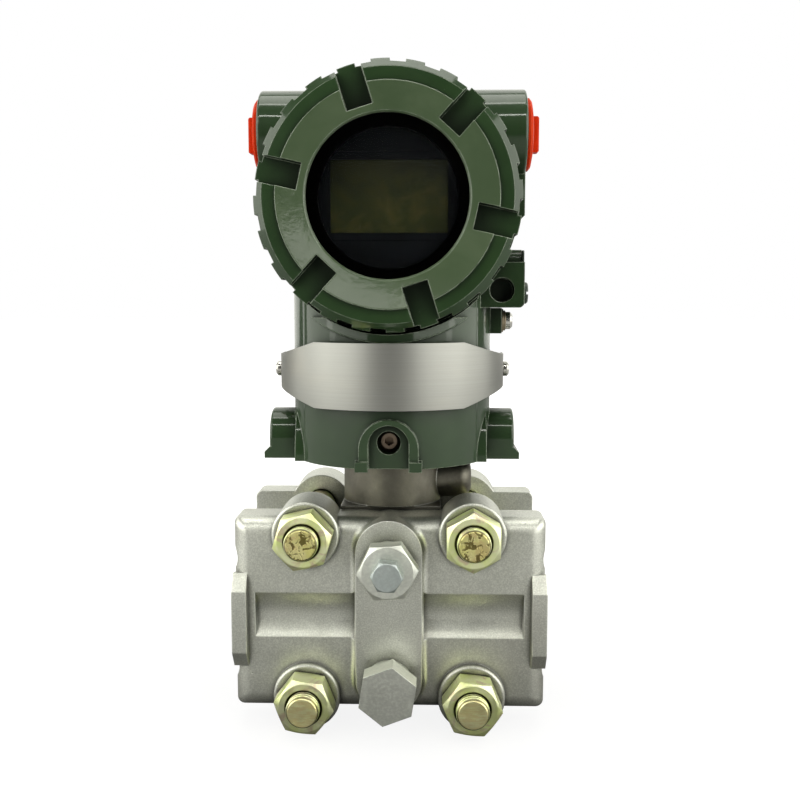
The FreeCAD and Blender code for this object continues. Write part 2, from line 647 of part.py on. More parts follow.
nut_turns = {(-1, 1): 73.0, (1, 1): 90.0, (-1, -1): 112.0, (1, -1): 113.0}
bolt_end = -d.boss_face - d.nut_length - d.bolt_overhang
for number, ((sx, sz), turn) in enumerate(nut_turns.items(), start=1):
    at = {"x": sx * half_pitch, "z": flange_z + sz * half_pitch}
    bolt = turned_body(f"flange_bolt_{number}", "Y",
                       [(bolt_end, 0), (bolt_end, d.bolt_radius - d.bolt_chamfer),
                        (bolt_end + d.bolt_chamfer, d.bolt_radius),
                        (d.boss_face + OVERLAP, d.bolt_radius), (d.boss_face + OVERLAP, 0)], **at)
    prism(bolt, "XZ", d.boss_face, d.boss_face + d.bolt_head, hexagon(0, 0, d.bolt_flats, 90.0))
    nut = new_body(f"flange_nut_{number}", **at)
    prism(nut, "XZ", -d.boss_face - d.nut_length, -d.boss_face, hexagon(0, 0, d.bolt_flats, turn))
    cone = d.bolt_flats * HEX_CORNER
    edge = cone + d.nut_bevel
    for face, inward in ((-d.boss_face - d.nut_length, d.nut_bevel), (-d.boss_face, -d.nut_bevel)):
        groove(nut, "Y", [(face, d.bolt_flats / 2 - d.nut_bevel / 2), (face, edge), (face + inward, edge),
                          (face + inward, cone)])
    nut_bore = d.bolt_radius + d.thread_gap
    cut(nut, "XZ", -d.boss_face - d.nut_length - BEYOND, -d.boss_face + BEYOND, circle(0, 0, nut_bore))
    for face, inward in ((-d.boss_face - d.nut_length, d.nut_countersink), (-d.boss_face, -d.nut_countersink)):
        groove(nut, "Y", [(face, 0), (face, nut_bore + d.nut_countersink), (face + inward, nut_bore), (face + inward, 0)])
    keep(bolt, nut)

# Vent and drain plugs, and the vent screws in the vent plugs.


def bevel_corners(body, face, flats, bevel):
    """Turned bevel that takes the corners off a hexagon's front face."""
    edge = flats * HEX_CORNER + bevel
    groove(body, "Y", [(face, flats / 2 - bevel / 4), (face, edge), (face + bevel, edge)])


def plug(label, height, hex_length, hex_turn, turn, bored):
    body = new_body(label, z=flange_z + height, angle=turn)
    root = -d.rib_face + d.plug_thread_length - OVERLAP
    neck = -d.rib_face - d.plug_collar_length
    face = neck - hex_length
    spin(body, "Y", [(root, 0), (root, d.plug_thread_radius), (-d.rib_face, d.plug_thread_radius),
                     (-d.rib_face, d.plug_collar_radius), (neck - OVERLAP, d.plug_collar_radius),
                     (neck - OVERLAP, 0)])
    prism(body, "XZ", face, neck, hexagon(0, 0, d.plug_flats, hex_turn))
    if bored:
        bevel_corners(body, face, d.plug_flats, d.plug_bevel)
        cut(body, "XZ", face - BEYOND, face + d.vent_screw_length + OVERLAP,
            circle(0, 0, d.vent_screw_radius + d.thread_gap))
    keep(body)
    return face


for end, turn in ((FRONT, 0.0), (REAR, HALF_TURN)):
    vent_face = plug(f"{end}_vent_plug", d.vent_height, d.vent_hex_length, 4.0, turn, True)
    plug(f"{end}_drain_plug", -d.drain_height, d.drain_hex_length, 81.0, turn, False)
    screw = new_body(f"{end}_vent_screw", z=flange_z + d.vent_height, angle=turn)
    head_back = vent_face - d.vent_screw_lift
    head_face = head_back - d.vent_screw_head
    prism(screw, "XZ", head_face, head_back, hexagon(0, 0, d.vent_screw_flats, -4.0))
    bevel_corners(screw, head_face, d.vent_screw_flats, d.vent_screw_bevel)
    spin(screw, "Y", [(head_back - OVERLAP, 0), (head_back - OVERLAP, d.vent_screw_radius),
                      (vent_face + d.vent_screw_length - d.vent_screw_radius / 2, d.vent_screw_radius),
                      (vent_face + d.vent_screw_length, 0)])
    keep(screw)

# Measuring capsule between the flanges, with its cast neck and the spigot that carries the housing.

axis_z = d.foot_height + d.cover_axis
shoulder = d.foot_height - flange_z - d.seat_gap
spigot_top = shoulder + d.seat_gap + d.spigot_length
groove_mid = axis_z - d.arch_hole_height - flange_z
ring_mid = shoulder + d.seat_gap + d.ring_groove_depth
capsule = turned_body("capsule_body", "Y", [(-d.flange_inner, 0), (-d.flange_inner, d.capsule_radius),
                                            (d.flange_inner, d.capsule_radius), (d.flange_inner, 0)], z=flange_z)
prism(capsule, "XY", d.shoulder_top / 2, d.shoulder_top,
      rectangle(-d.shoulder_width / 2, -d.shoulder_depth / 2, d.shoulder_width / 2, d.shoulder_depth / 2))
for side in (-1, 1):
    face = side * d.flange_inner
    groove(capsule, "Y", [(face, d.gasket_inner), (face, d.gasket_outer),
                          (face - side * d.gasket_depth, d.gasket_outer),
                          (face - side * d.gasket_depth, d.gasket_inner)])
    groove(capsule, "Y", [(face, 0), (face, d.diaphragm_radius),
                          (face - side * d.diaphragm_recess, d.diaphragm_radius),
                          (face - side * d.diaphragm_recess, 0)])
spin(capsule, "Z", [(d.shoulder_top, 0), (d.shoulder_top, d.sensor_neck_radius),
                    (shoulder, d.sensor_neck_radius), (shoulder, d.spigot_radius),
                    (groove_mid - d.groove_height / 2, d.spigot_radius),
                    (groove_mid - d.groove_height / 2 + d.spigot_radius - d.groove_radius, d.groove_radius),
                    (groove_mid + d.groove_height / 2 - d.spigot_radius + d.groove_radius, d.groove_radius),
                    (groove_mid + d.groove_height / 2, d.spigot_radius),
                    (spigot_top, d.spigot_radius), (spigot_top, 0)])
prism(capsule, "YZ", 0, d.bulge_reach, circle(0, d.bulge_height, d.bulge_radius))
soften(capsule, edges_in(capsule, (d.bulge_reach, d.bulge_reach)), d.bulge_rounding)
ring_half = d.ring_radius + d.seal_play
groove(capsule, "Z", [(ring_mid - ring_half, d.spigot_radius - d.ring_groove_depth),
                      (ring_mid - ring_half, d.spigot_radius + BEYOND),
                      (ring_mid + ring_half, d.spigot_radius + BEYOND),
                      (ring_mid + ring_half, d.spigot_radius - d.ring_groove_depth)])
keep(capsule)

for end, side in ((FRONT, -1), (REAR, 1)):
    face = side * d.flange_inner
    groove_floor = face - side * d.gasket_depth
    inner, outer = d.gasket_inner + d.gasket_play, d.gasket_outer - d.gasket_play
    keep(turned_body(f"{end}_gasket", "Y", [(face, inner), (face, outer), (groove_floor, outer),
                                            (groove_floor, inner)], z=flange_z))
    floor = side * (d.flange_inner - d.diaphragm_recess)
    rim = d.diaphragm_radius - d.gasket_play
    keep(turned_body(f"{end}_diaphragm", "Y", [(floor, 0), (floor, rim), (floor + side * d.diaphragm_thickness, rim),
                                               (floor + side * d.diaphragm_thickness, 0)], z=flange_z))

keep(primitive("Torus", "neck_seal",
               {"Radius1": d.spigot_radius - d.ring_groove_depth + d.ring_radius, "Radius2": d.ring_radius},
               z=flange_z + ring_mid))
header_z = flange_z + spigot_top
keep(primitive("Cylinder", "sensor_header", {"Radius": d.header_radius, "Height": d.header_length}, z=header_z))

# Housing casting: barrel with two compartments, neck, conduit bosses and lugs, about the cover axis.

neck_foot = -d.cover_axis
lug_foot = neck_foot - d.lug_drop
far = d.collar_radius + BEYOND
plate_foot = d.foot_height + d.plate_bottom
plate_mid = plate_foot + d.plate_height / 2
plate_outer = d.plate_radius + d.plate_thickness
saddle = circle(0, 0, d.cover_radius + d.saddle_gap)

housing = new_body("housing", z=axis_z)
prism(housing, "XY", -d.collar_drop, -d.barrel_radius + OVERLAP, circle(0, 0, d.collar_radius))
reach = d.saddle_radius + d.collar_drop
cut(housing, "XZ", -far, far, rectangle(-reach, -reach, reach, reach), circle(0, 0, d.saddle_radius))
prism(housing, "XY", neck_foot, 0, circle(0, 0, d.neck_radius))
cut(housing, "XZ", -far, -d.barrel_front, saddle)
cut(housing, "XZ", d.barrel_back, far, saddle)
prism(housing, "XZ", -d.barrel_front, d.barrel_back, circle(0, 0, d.barrel_radius))
prism(housing, "XZ", -d.front_thread_end, d.rear_thread_end, circle(0, 0, d.thread_radius))
prism(housing, "YZ", -d.conduit_end, d.conduit_end, circle(d.conduit_depth, d.conduit_height, d.conduit_boss))
soften(housing, [name for side in (-1, 1)
                 for name in edges_in(housing, (side * d.conduit_end, side * d.conduit_end))], d.boss_rounding)
web_edge = d.conduit_end - d.web_slope
prism(housing, "XZ", d.conduit_depth - d.web_width / 2, d.conduit_depth + d.web_width / 2,
      polygon([(-d.conduit_end, d.conduit_height), (-d.conduit_end, d.web_slope - d.web_drop),
               (-web_edge, -d.web_drop), (web_edge, -d.web_drop), (d.conduit_end, d.web_slope - d.web_drop),
               (d.conduit_end, d.conduit_height)]))

# Arched lugs round the foot: deep ones at the sides, shallow ones with a pocket at front and rear.

flare = d.side_lug_reach + d.foot_flare
flare_top = lug_foot + d.foot_thickness
arch_half = d.lug_half - d.arch_wall
ear = d.lug_half + d.arch_ear
for side in (-1, 1):
    root = side * d.lug_root
    prism(housing, "YZ", *span(side * d.side_pad_root, side * d.side_pad_reach),
          arch(0, d.side_pad_half, neck_foot, -d.side_pad_crown))
    prism(housing, "YZ", *span(root, side * d.side_lug_reach), arch(0, d.lug_half, lug_foot, -d.lug_crown))
    soften(housing, edges_in(housing, (side * d.side_lug_reach, side * d.side_lug_reach)), d.boss_rounding)
    prism(housing, "XZ", -d.lug_half, d.lug_half,
          polygon([(root, lug_foot), (side * flare, lug_foot), (side * flare, flare_top),
                   (side * d.side_lug_reach, flare_top + d.foot_flare), (root, flare_top + d.foot_flare)]))
    prism(housing, "XZ", *span(root, side * d.arch_face), arch(0, d.lug_half, neck_foot, -d.lug_crown))
    prism(housing, "XZ", *span(root, side * d.arch_foot_face),
          *[rectangle(low, lug_foot, high, flare_top + d.foot_flare / 2)
            for low, high in (span(sx * arch_half, sx * ear) for sx in (-1, 1))])
    cut(housing, "XZ", *span(side * d.arch_floor, side * far),
        arch(0, arch_half, lug_foot - BEYOND, -d.lug_crown - d.arch_crown_wall))
    cut(housing, "XZ", *span(side * (d.spigot_radius - OVERLAP), side * far),
        circle(0, -d.arch_hole_height, d.set_screw_radius + d.thread_gap))

# Adjustment lug, earth terminal boss and nameplate bosses.

prism(housing, "XZ", -d.adjust_front, d.adjust_back,
      rectangle(d.adjust_left, -d.adjust_bottom, d.adjust_right, -d.adjust_top))
soften(housing, edges_in(housing, (d.adjust_right, d.adjust_right), ANY, (-d.adjust_bottom, -d.adjust_bottom)),
       d.adjust_rounding)
prism(housing, "YZ", d.adjust_left + OVERLAP, d.adjust_right,
      circle(-d.adjust_screw_y, -d.lobe_drop, d.lobe_radius))
cut(housing, "XZ", -d.adjust_front - BEYOND, -d.adjust_front + d.adjust_hole_depth,
    circle(d.adjust_hole_x, -d.adjust_hole_drop, d.adjust_hole_radius))
cut(housing, "YZ", d.adjust_right - d.adjust_stem_length - d.hole_margin, d.adjust_right + BEYOND,
    circle(-d.adjust_screw_y, -d.adjust_screw_drop, d.adjust_stem_radius + d.spigot_gap))
half_earth = d.earth_width / 2
prism(housing, "YZ", d.neck_radius - OVERLAP, d.earth_reach,
      rectangle(-half_earth, -d.earth_drop - half_earth, half_earth, -d.earth_drop + half_earth))
cut(housing, "YZ", d.earth_reach - d.earth_thread - d.hole_margin, d.earth_reach + BEYOND,
    circle(0, -d.earth_drop, d.earth_screw_radius + d.thread_gap))
plate_z = plate_mid - axis_z
for side in (-1, 1):
    prism(housing, "YZ", *span(side * (d.neck_radius - OVERLAP), side * (d.plate_radius - d.plate_boss_gap)),
          circle(0, plate_z, d.plate_boss_radius))
    cut(housing, "YZ", *span(side * (d.plate_radius - d.plate_screw_length), side * (d.plate_radius + BEYOND)),
        circle(0, plate_z, d.plate_screw_radius + d.thread_gap))

# Compartments, the hollow of the neck, the wire passage, the spigot's bore and the conduit bores.

cut(housing, "XZ", -d.front_thread_end - BEYOND, -d.partition_front, circle(0, 0, d.chamber_bore))
cut(housing, "XZ", -d.partition_back, d.rear_thread_end + BEYOND, circle(0, 0, d.chamber_bore))
cut(housing, "XY", neck_foot + d.neck_floor, -d.neck_roof, circle(0, 0, d.neck_radius - d.neck_wall))
cut(housing, "XY", -d.neck_roof - OVERLAP, -d.chamber_bore + OVERLAP, circle(0, -d.wire_depth, d.wire_radius))
cut(housing, "XY", lug_foot, neck_foot + d.neck_floor + OVERLAP, circle(0, 0, d.spigot_radius + d.spigot_gap))
for side in (-1, 1):
    cut(housing, "YZ", *span(side * d.conduit_start, side * (d.conduit_end + BEYOND)),
        circle(d.conduit_depth, d.conduit_height, d.conduit_bore))
keep(housing)

# Nameplate wrapped round the neck, with flat tabs on the bosses and cut corners.

nameplate = new_body("nameplate", z=plate_foot)
prism(nameplate, "XY", 0, d.plate_height, circle(0, 0, plate_outer), circle(0, 0, d.plate_radius))
cut(nameplate, "XY", -BEYOND, d.plate_height + BEYOND,
    rectangle(-plate_outer - BEYOND, 0, plate_outer + BEYOND, plate_outer + BEYOND))
for side in (-1, 1):
    inner_x, outer_x = side * d.plate_radius, side * plate_outer
    prism(nameplate, "XY", 0, d.plate_height, rectangle(inner_x, 0, outer_x, d.plate_tab))
    for up in (-1, 1):
        edge = d.plate_height / 2 + up * d.plate_height / 2
        end = d.plate_height / 2 + up * d.plate_end_height / 2
        cut(nameplate, "XZ", -far - BEYOND, far + BEYOND,
            polygon([(side * d.plate_flat, edge), (outer_x, end), (outer_x + side * BEYOND, end),
                     (outer_x + side * BEYOND, edge + up * BEYOND), (side * d.plate_flat, edge + up * BEYOND)]))
cut(nameplate, "YZ", -far - BEYOND, far + BEYOND,
    circle(0, d.plate_height / 2, d.plate_screw_radius + d.thread_gap))
keep(nameplate)


def cross(length, width):
    """Outline of a cross recess about the middle."""
    a, b = length / 2, width / 2
    return polygon([(a, b), (b, b), (b, a), (-b, a), (-b, b), (-a, b), (-a, -b), (-b, -b), (-b, -a), (b, -a),
                    (b, -b), (a, -b)])


def pan_screw(label, shank, head_radius, head_height, length, **where):
    """Pan head screw along its own X, the head's seat at zero."""
    body = new_body(label, **where)
    crown = head_height * CROWN_SHARE
    spin(body, "X", [(-length, 0), (-length, shank), (0, shank), (0, head_radius),
                     (head_height - crown, head_radius), (head_height, head_radius - crown), (head_height, 0)])
    cut(body, "YZ", head_height / 2, head_height + BEYOND, cross(head_radius, head_radius * CROSS_ARM))
    keep(body)


for end, side, turn in (("left", -1, HALF_TURN), ("right", 1, 0.0)):
    pan_screw(f"nameplate_screw_{end}", d.plate_screw_radius, d.plate_screw_head, d.plate_screw_height,
              d.plate_screw_length - d.hole_margin, x=side * plate_outer, z=plate_mid, angle=turn)

earth_z = axis_z - d.earth_drop
pan_screw("earth_screw", d.earth_screw_radius, d.earth_head_radius, d.earth_head, d.earth_thread,
          x=d.earth_reach + d.washer_thickness * 2, z=earth_z)
for label, radius, start in (("earth_washer", d.washer_radius, d.earth_reach),
                             ("earth_lock_washer", d.lock_washer_radius, d.earth_reach + d.washer_thickness)):
    hole = d.earth_screw_radius + d.thread_gap
    keep(turned_body(label, "X", [(0, hole), (0, radius), (d.washer_thickness, radius), (d.washer_thickness, hole)],
                     x=start, z=earth_z))

# Adjustment plate and the screw that turns in it.

adjust_z = axis_z - d.adjust_screw_drop
adjust_plate = new_body("adjust_plate", x=d.adjust_right, y=-d.adjust_screw_y, z=adjust_z)
plate_low = d.adjust_screw_drop - d.adjust_bottom + OVERLAP
prism(adjust_plate, "YZ", 0, d.cap_thickness,
      rectangle(-d.cap_width / 2, plate_low, d.cap_width / 2, plate_low + d.cap_height))
soften(adjust_plate, [name for sy in (-1, 1) for sz in (0, 1)
                      for name in edges_in(adjust_plate, ANY, (sy * d.cap_width / 2, sy * d.cap_width / 2),
                                           (plate_low + sz * d.cap_height, plate_low + sz * d.cap_height))],
       d.cap_corner)
cut(adjust_plate, "YZ", -BEYOND, d.cap_thickness + BEYOND, circle(0, 0, d.adjust_stem_radius + d.spigot_gap))
keep(adjust_plate)

adjust_screw = new_body("adjust_screw", x=d.adjust_right + d.cap_thickness + d.seat_gap,
                        y=-d.adjust_screw_y, z=adjust_z)
spin(adjust_screw, "X", [(-d.adjust_stem_length, 0), (-d.adjust_stem_length, d.adjust_stem_radius),
                         (0, d.adjust_stem_radius), (0, d.adjust_screw_radius),
                         (d.adjust_screw_head - d.adjust_screw_bevel, d.adjust_screw_radius),
                         (d.adjust_screw_head, d.adjust_screw_radius - d.adjust_screw_bevel),
                         (d.adjust_screw_head, 0)])
slot_end = d.adjust_screw_radius + BEYOND
cut(adjust_screw, "YZ", d.adjust_screw_head / 2, d.adjust_screw_head + BEYOND,
    rectangle(-slot_end, -d.adjust_slot / 2, slot_end, d.adjust_slot / 2))
keep(adjust_screw)

# Set screws from the arched pockets into the spigot's groove.

for end, turn in ((FRONT, 0.0), (REAR, HALF_TURN)):
    tip = -d.groove_radius - d.seat_gap
    screw = turned_body(f"{end}_set_screw", "Y",
                        [(-d.set_screw_outer, 0), (-d.set_screw_outer, d.set_screw_face),
                         (-d.set_screw_outer + d.set_screw_radius - d.set_screw_face, d.set_screw_radius),
                         (tip - OVERLAP, d.set_screw_radius), (tip, d.set_screw_radius - OVERLAP), (tip, 0)],
                        z=axis_z - d.arch_hole_height, angle=turn)
    cut(screw, "XZ", -d.set_screw_outer - BEYOND, -d.set_screw_outer + d.socket_depth,
        hexagon(0, 0, d.socket_flats, 90.0))
    keep(screw)

# Screwed covers with wrench slots, a stepped rim and grip notches; the front one holds the window.

cover_bore = d.thread_radius + d.thread_gap
glass_bore = d.glass_radius + d.glass_gap
lip_back = d.cover_face - d.face_dish - d.window_lip


def rotated(points, angle):
    """Outline points turned clockwise about the sketch's origin."""
    c, s = math.cos(math.radians(angle)), math.sin(math.radians(angle))
    return polygon([(term(u) * c + term(v) * s, term(v) * c - term(u) * s) for u, v in points])


def cover(label, side, face, inner, shoulder_y, windowed):
    body = new_body(label, z=axis_z, axis=(0, 1, 0), angle=side * d.slot_lead.value)
    open_end = shoulder_y + d.seat_gap
    rim = face - d.rim_fall
    middle = face - d.face_dish
    profile = [(face, d.step_top_radius), (face - d.step_fall, d.step_top_radius), (face - d.step_fall, d.step_foot_radius),
               (rim, d.cover_radius - d.rim_rounding), (rim - d.rim_rounding, d.cover_radius),
               (open_end + d.rim_rounding, d.cover_radius), (open_end, d.cover_radius - d.rim_rounding),
               (open_end, cover_bore), (inner, cover_bore)]
    if windowed:
        profile = ([(middle, d.window_radius + d.window_bevel)] + profile
                   + [(inner, glass_bore), (lip_back, glass_bore), (lip_back, d.window_radius),
                      (middle - d.window_bevel, d.window_radius)])
    else:
        profile = [(middle, 0), (middle, d.window_radius)] + profile + [(inner, 0)]
    spin(body, "Y", [(side * along, radius) for along, radius in profile])
    top = d.cover_radius + BEYOND

    def edge_cut(points, depth, angle, count):
        ends = span(side * depth, side * (face + BEYOND))
        repeat(body, cut(body, "XZ", *ends, rotated(points, angle)), "Y", count)

    half_slot, half_notch = d.slot_width / 2, d.notch_width / 2
    edge_cut([(-half_slot, d.slot_start), (half_slot, d.slot_start), (half_slot, top), (-half_slot, top)],
             face - d.slot_fall, 0.0, SLOTS)
    edge_cut([(-half_notch, d.notch_radius), (half_notch, d.notch_radius), (half_notch, top), (-half_notch, top)],
             rim - d.notch_length, d.notch_lead.value, NOTCHES)
    seal_y = open_end + d.seal_offset
    seal_half = d.seal_radius + d.seal_play
    seal_floor = cover_bore + d.seal_radius * 2 + d.seal_play * 2
    groove(body, "Y", [(side * (seal_y - seal_half), cover_bore - OVERLAP), (side * (seal_y - seal_half), seal_floor),
                       (side * (seal_y + seal_half), seal_floor), (side * (seal_y + seal_half), cover_bore - OVERLAP)])
    keep(body)
    keep(primitive("Torus", f"{label}_seal",
                   {"Radius1": cover_bore + d.seal_play / 2 + d.seal_radius, "Radius2": d.seal_radius},
                   y=side * seal_y, z=axis_z, axis=(1, 0, 0), angle=90.0))


cover("front_cover", -1, d.cover_face, d.cover_inner_front, d.barrel_front, True)
cover("rear_cover", 1, d.rear_cover_face, d.cover_inner_rear, d.barrel_back, False)


def ring(label, outer_face, thickness, inner, outer):
    """Turned ring behind the window, its front face at a depth before the neck axis."""
    body = turned_body(label, "Y", [(-outer_face, inner), (-outer_face, outer), (thickness - outer_face, outer),
                                    (thickness - outer_face, inner)], z=axis_z)
    keep(body)
    return body


glass_front = lip_back - d.window_gasket
retainer_front = glass_front - d.glass_thickness
ring("window_gasket", lip_back, d.window_gasket, d.window_radius, d.glass_radius)
ring("window_glass", glass_front, d.glass_thickness, 0, d.glass_radius)
retainer = ring("window_retainer", retainer_front, d.retainer_thickness, d.retainer_inner, d.glass_radius)
slot_end = d.glass_radius + BEYOND
cut(retainer, "XZ", -retainer_front + d.retainer_thickness / 2, -retainer_front + d.retainer_thickness + BEYOND,
    rectangle(-slot_end, -d.retainer_slot / 2, slot_end, d.retainer_slot / 2))

# Electronics: two boards on spacers, the display behind its frame, the terminal block and the ribbon cable.

amplifier_y = -d.partition_front - d.lower_spacer
amplifier_front = amplifier_y - d.board_thickness
display_back = amplifier_front - d.upper_spacer
display_front = display_back - d.board_thickness
panel_front = display_front - d.display_thickness
panel_z = axis_z + d.display_lift


def standing_cylinder(label, radius, length, x, y, z):
    """Cylinder whose axis runs along -Y from y."""
    return primitive("Cylinder", label, {"Radius": radius, "Height": length}, x=x, y=y, z=z,
                     axis=(1, 0, 0), angle=90.0)


keep(standing_cylinder("amplifier_board", d.board_radius, d.board_thickness, 0, amplifier_y, axis_z),
     standing_cylinder("display_board", d.board_radius, d.board_thickness, 0, display_back, axis_z))
spacers = doc.addObject("Part::MultiFuse", "board_spacers")
spacers.Label = "board_spacers"
spacers.Shapes = [standing_cylinder(f"spacer_{sx}_{sz}_{length.value:g}", d.spacer_radius, length,
                                    sx * d.spacer_pitch / 2, y, axis_z + sz * d.spacer_pitch / 2)
                  for y, length in ((-d.partition_front, d.lower_spacer), (amplifier_front, d.upper_spacer))
                  for sx in (-1, 1) for sz in (-1, 1)]
keep(spacers)

keep(primitive("Box", "display_panel", {"Length": d.display_width, "Width": d.display_thickness,
                                        "Height": d.display_height},
               x=-d.display_width / 2, y=panel_front, z=panel_z - d.display_height / 2))
frame = new_body("display_frame", z=axis_z)
window_x = d.display_width / 2 - d.display_margin
window_z = d.display_height / 2 - d.display_margin
prism(frame, "XZ", panel_front - d.frame_thickness, panel_front, circle(0, 0, d.frame_radius),
      rectangle(-window_x, d.display_lift - window_z, window_x, d.display_lift + window_z))
band_end = d.frame_radius + BEYOND
cut(frame, "XZ", panel_front - d.frame_thickness - BEYOND, panel_front - d.frame_thickness + d.frame_band_depth,
    rectangle(-band_end, d.display_lift - d.frame_band / 2, band_end, d.display_lift + d.frame_band / 2))
keep(frame)

block_face = -d.partition_back + d.block_thickness
recess_floor = block_face - d.terminal_recess
block = new_body("terminal_block", z=axis_z - d.block_drop)
prism(block, "XZ", -d.partition_back, block_face,
      rectangle(-d.block_width / 2, -d.block_height / 2, d.block_width / 2, d.block_height / 2))
terminal_xs = [d.terminal_pitch * step for step in (-1.5, -0.5, 0.5, 1.5)]
screw_shank = d.terminal_screw_radius / 2
cut(block, "XZ", recess_floor, block_face + BEYOND,
    *[rectangle(x - d.terminal_slot / 2, OVERLAP - d.block_height / 2, x + d.terminal_slot / 2,
                d.block_height / 2 - OVERLAP) for x in terminal_xs])
cut(block, "XZ", recess_floor - d.terminal_recess, recess_floor + BEYOND,
    *[circle(x, 0, screw_shank + d.thread_gap) for x in terminal_xs])
keep(block)
terminals = doc.addObject("Part::MultiFuse", "terminal_screws")
terminals.Label = "terminal_screws"
terminals.Shapes = [standing_cylinder(f"terminal_{part}_{number}", radius, length, x, y, axis_z - d.block_drop)
                    for number, x in enumerate(terminal_xs)
                    for part, radius, length, y in (
                        ("head", d.terminal_screw_radius, d.terminal_screw_head, recess_floor + d.terminal_screw_head),
                        ("shank", screw_shank, d.terminal_recess - d.hole_margin + d.terminal_screw_head / 2,
                         recess_floor + d.terminal_screw_head / 2))]
keep(terminals)

cable = new_body("sensor_cable", z=axis_z)
near = -d.wire_depth
run = near - d.cable_thickness
cable_end = header_z + d.header_length + d.seat_gap * 2 - axis_z
upper_bend = -d.neck_roof - d.cable_bend
lower_bend = cable_end + d.cable_bend
inside = d.cable_thickness / 2
prism(cable, "YZ", -d.cable_width / 2, d.cable_width / 2,
      polygon([(amplifier_front, -d.cable_start), (run, -d.cable_start), (run, upper_bend),
               (-d.cable_thickness, lower_bend), (-d.cable_thickness, cable_end), (0, cable_end),
               (0, lower_bend + inside), (near, upper_bend + inside), (near, -d.cable_start - d.cable_thickness),
               (amplifier_front, -d.cable_start - d.cable_thickness)]))
keep(cable)

# Conduit plugs: a hollow stem in the bore, a domed flange and a flat grip.

for end, side, turn in (("left", -1, HALF_TURN), ("right", 1, 0.0)):
    conduit_plug = new_body(f"{end}_conduit_plug", x=side * (d.conduit_end + d.seat_gap),
                            y=d.conduit_depth, z=axis_z + d.conduit_height, angle=turn)
    stem = d.conduit_bore - d.plug_play
    spin(conduit_plug, "X", [(-d.plug_stem_length, 0), (-d.plug_stem_length, stem), (0, stem),
                             (0, d.plug_flange_radius), (d.plug_rim, d.plug_flange_radius),
                             (d.plug_dome_height, d.plug_dome_radius), (d.plug_flange, stem), (d.plug_flange, 0)])
    grip_top = d.plug_flange + d.grip_length
    prism(conduit_plug, "YZ", d.plug_flange / 2, grip_top,
          rectangle(-d.grip_width / 2, -d.grip_height / 2, d.grip_width / 2, d.grip_height / 2))
    soften(conduit_plug, edges_in(conduit_plug, (grip_top, grip_top)), d.boss_rounding)
    cut(conduit_plug, "YZ", -d.plug_stem_length - BEYOND, -d.plug_wall, circle(0, 0, stem - d.plug_wall))
    keep(conduit_plug)

doc.recompute()
for piece in nodes:
    if "Invalid" in piece.State or "Error" in piece.State:
        raise ValueError(f"{piece.Label} is {piece.State}")
    if piece.Shape.isNull() or not piece.Shape.isValid():
        raise ValueError(f"{piece.Label} has no valid shape")
    piece.Shape.exportStep(f"parts/{piece.Label}.step")
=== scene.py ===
import math

import bmesh
import bpy
from mathutils import Euler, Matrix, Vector


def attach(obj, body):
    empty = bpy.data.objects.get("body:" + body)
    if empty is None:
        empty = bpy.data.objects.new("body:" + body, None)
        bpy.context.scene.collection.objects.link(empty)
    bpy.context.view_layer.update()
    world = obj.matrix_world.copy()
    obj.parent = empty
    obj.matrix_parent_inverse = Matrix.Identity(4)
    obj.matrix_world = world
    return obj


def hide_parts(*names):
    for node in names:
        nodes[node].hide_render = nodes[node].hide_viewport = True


# Looks of a differential pressure transmitter, in metres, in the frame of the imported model.

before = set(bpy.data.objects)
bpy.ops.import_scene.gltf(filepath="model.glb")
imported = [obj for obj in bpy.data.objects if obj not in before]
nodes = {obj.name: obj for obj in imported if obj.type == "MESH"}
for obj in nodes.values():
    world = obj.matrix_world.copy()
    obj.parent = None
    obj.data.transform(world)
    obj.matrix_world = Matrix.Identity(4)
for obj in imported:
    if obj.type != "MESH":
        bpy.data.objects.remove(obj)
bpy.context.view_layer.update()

MM = 0.001
FLANGE_Z = 0.04265  # height of the flanges' middle
HALF_PITCH = 0.0303  # flange bolts lie this far from it, across and up
THREAD_R = 6.0 * MM
STUD_END = -50.6 * MM  # the flange bolts' ends lie ahead of this
COVER_Z = 0.193  # height of the covers' axis
RAISED_FRONT, RAISED_REAR = -44.4 * MM, 53.9 * MM  # the covers' raised faces lie beyond these
SEAM_X, SEAM_TOP = 32.0 * MM, 160.0 * MM  # place and upper end of the neck's parting lines

# Node materials. Lengths in a texture's scale are repeats per metre of the part's own coordinates.


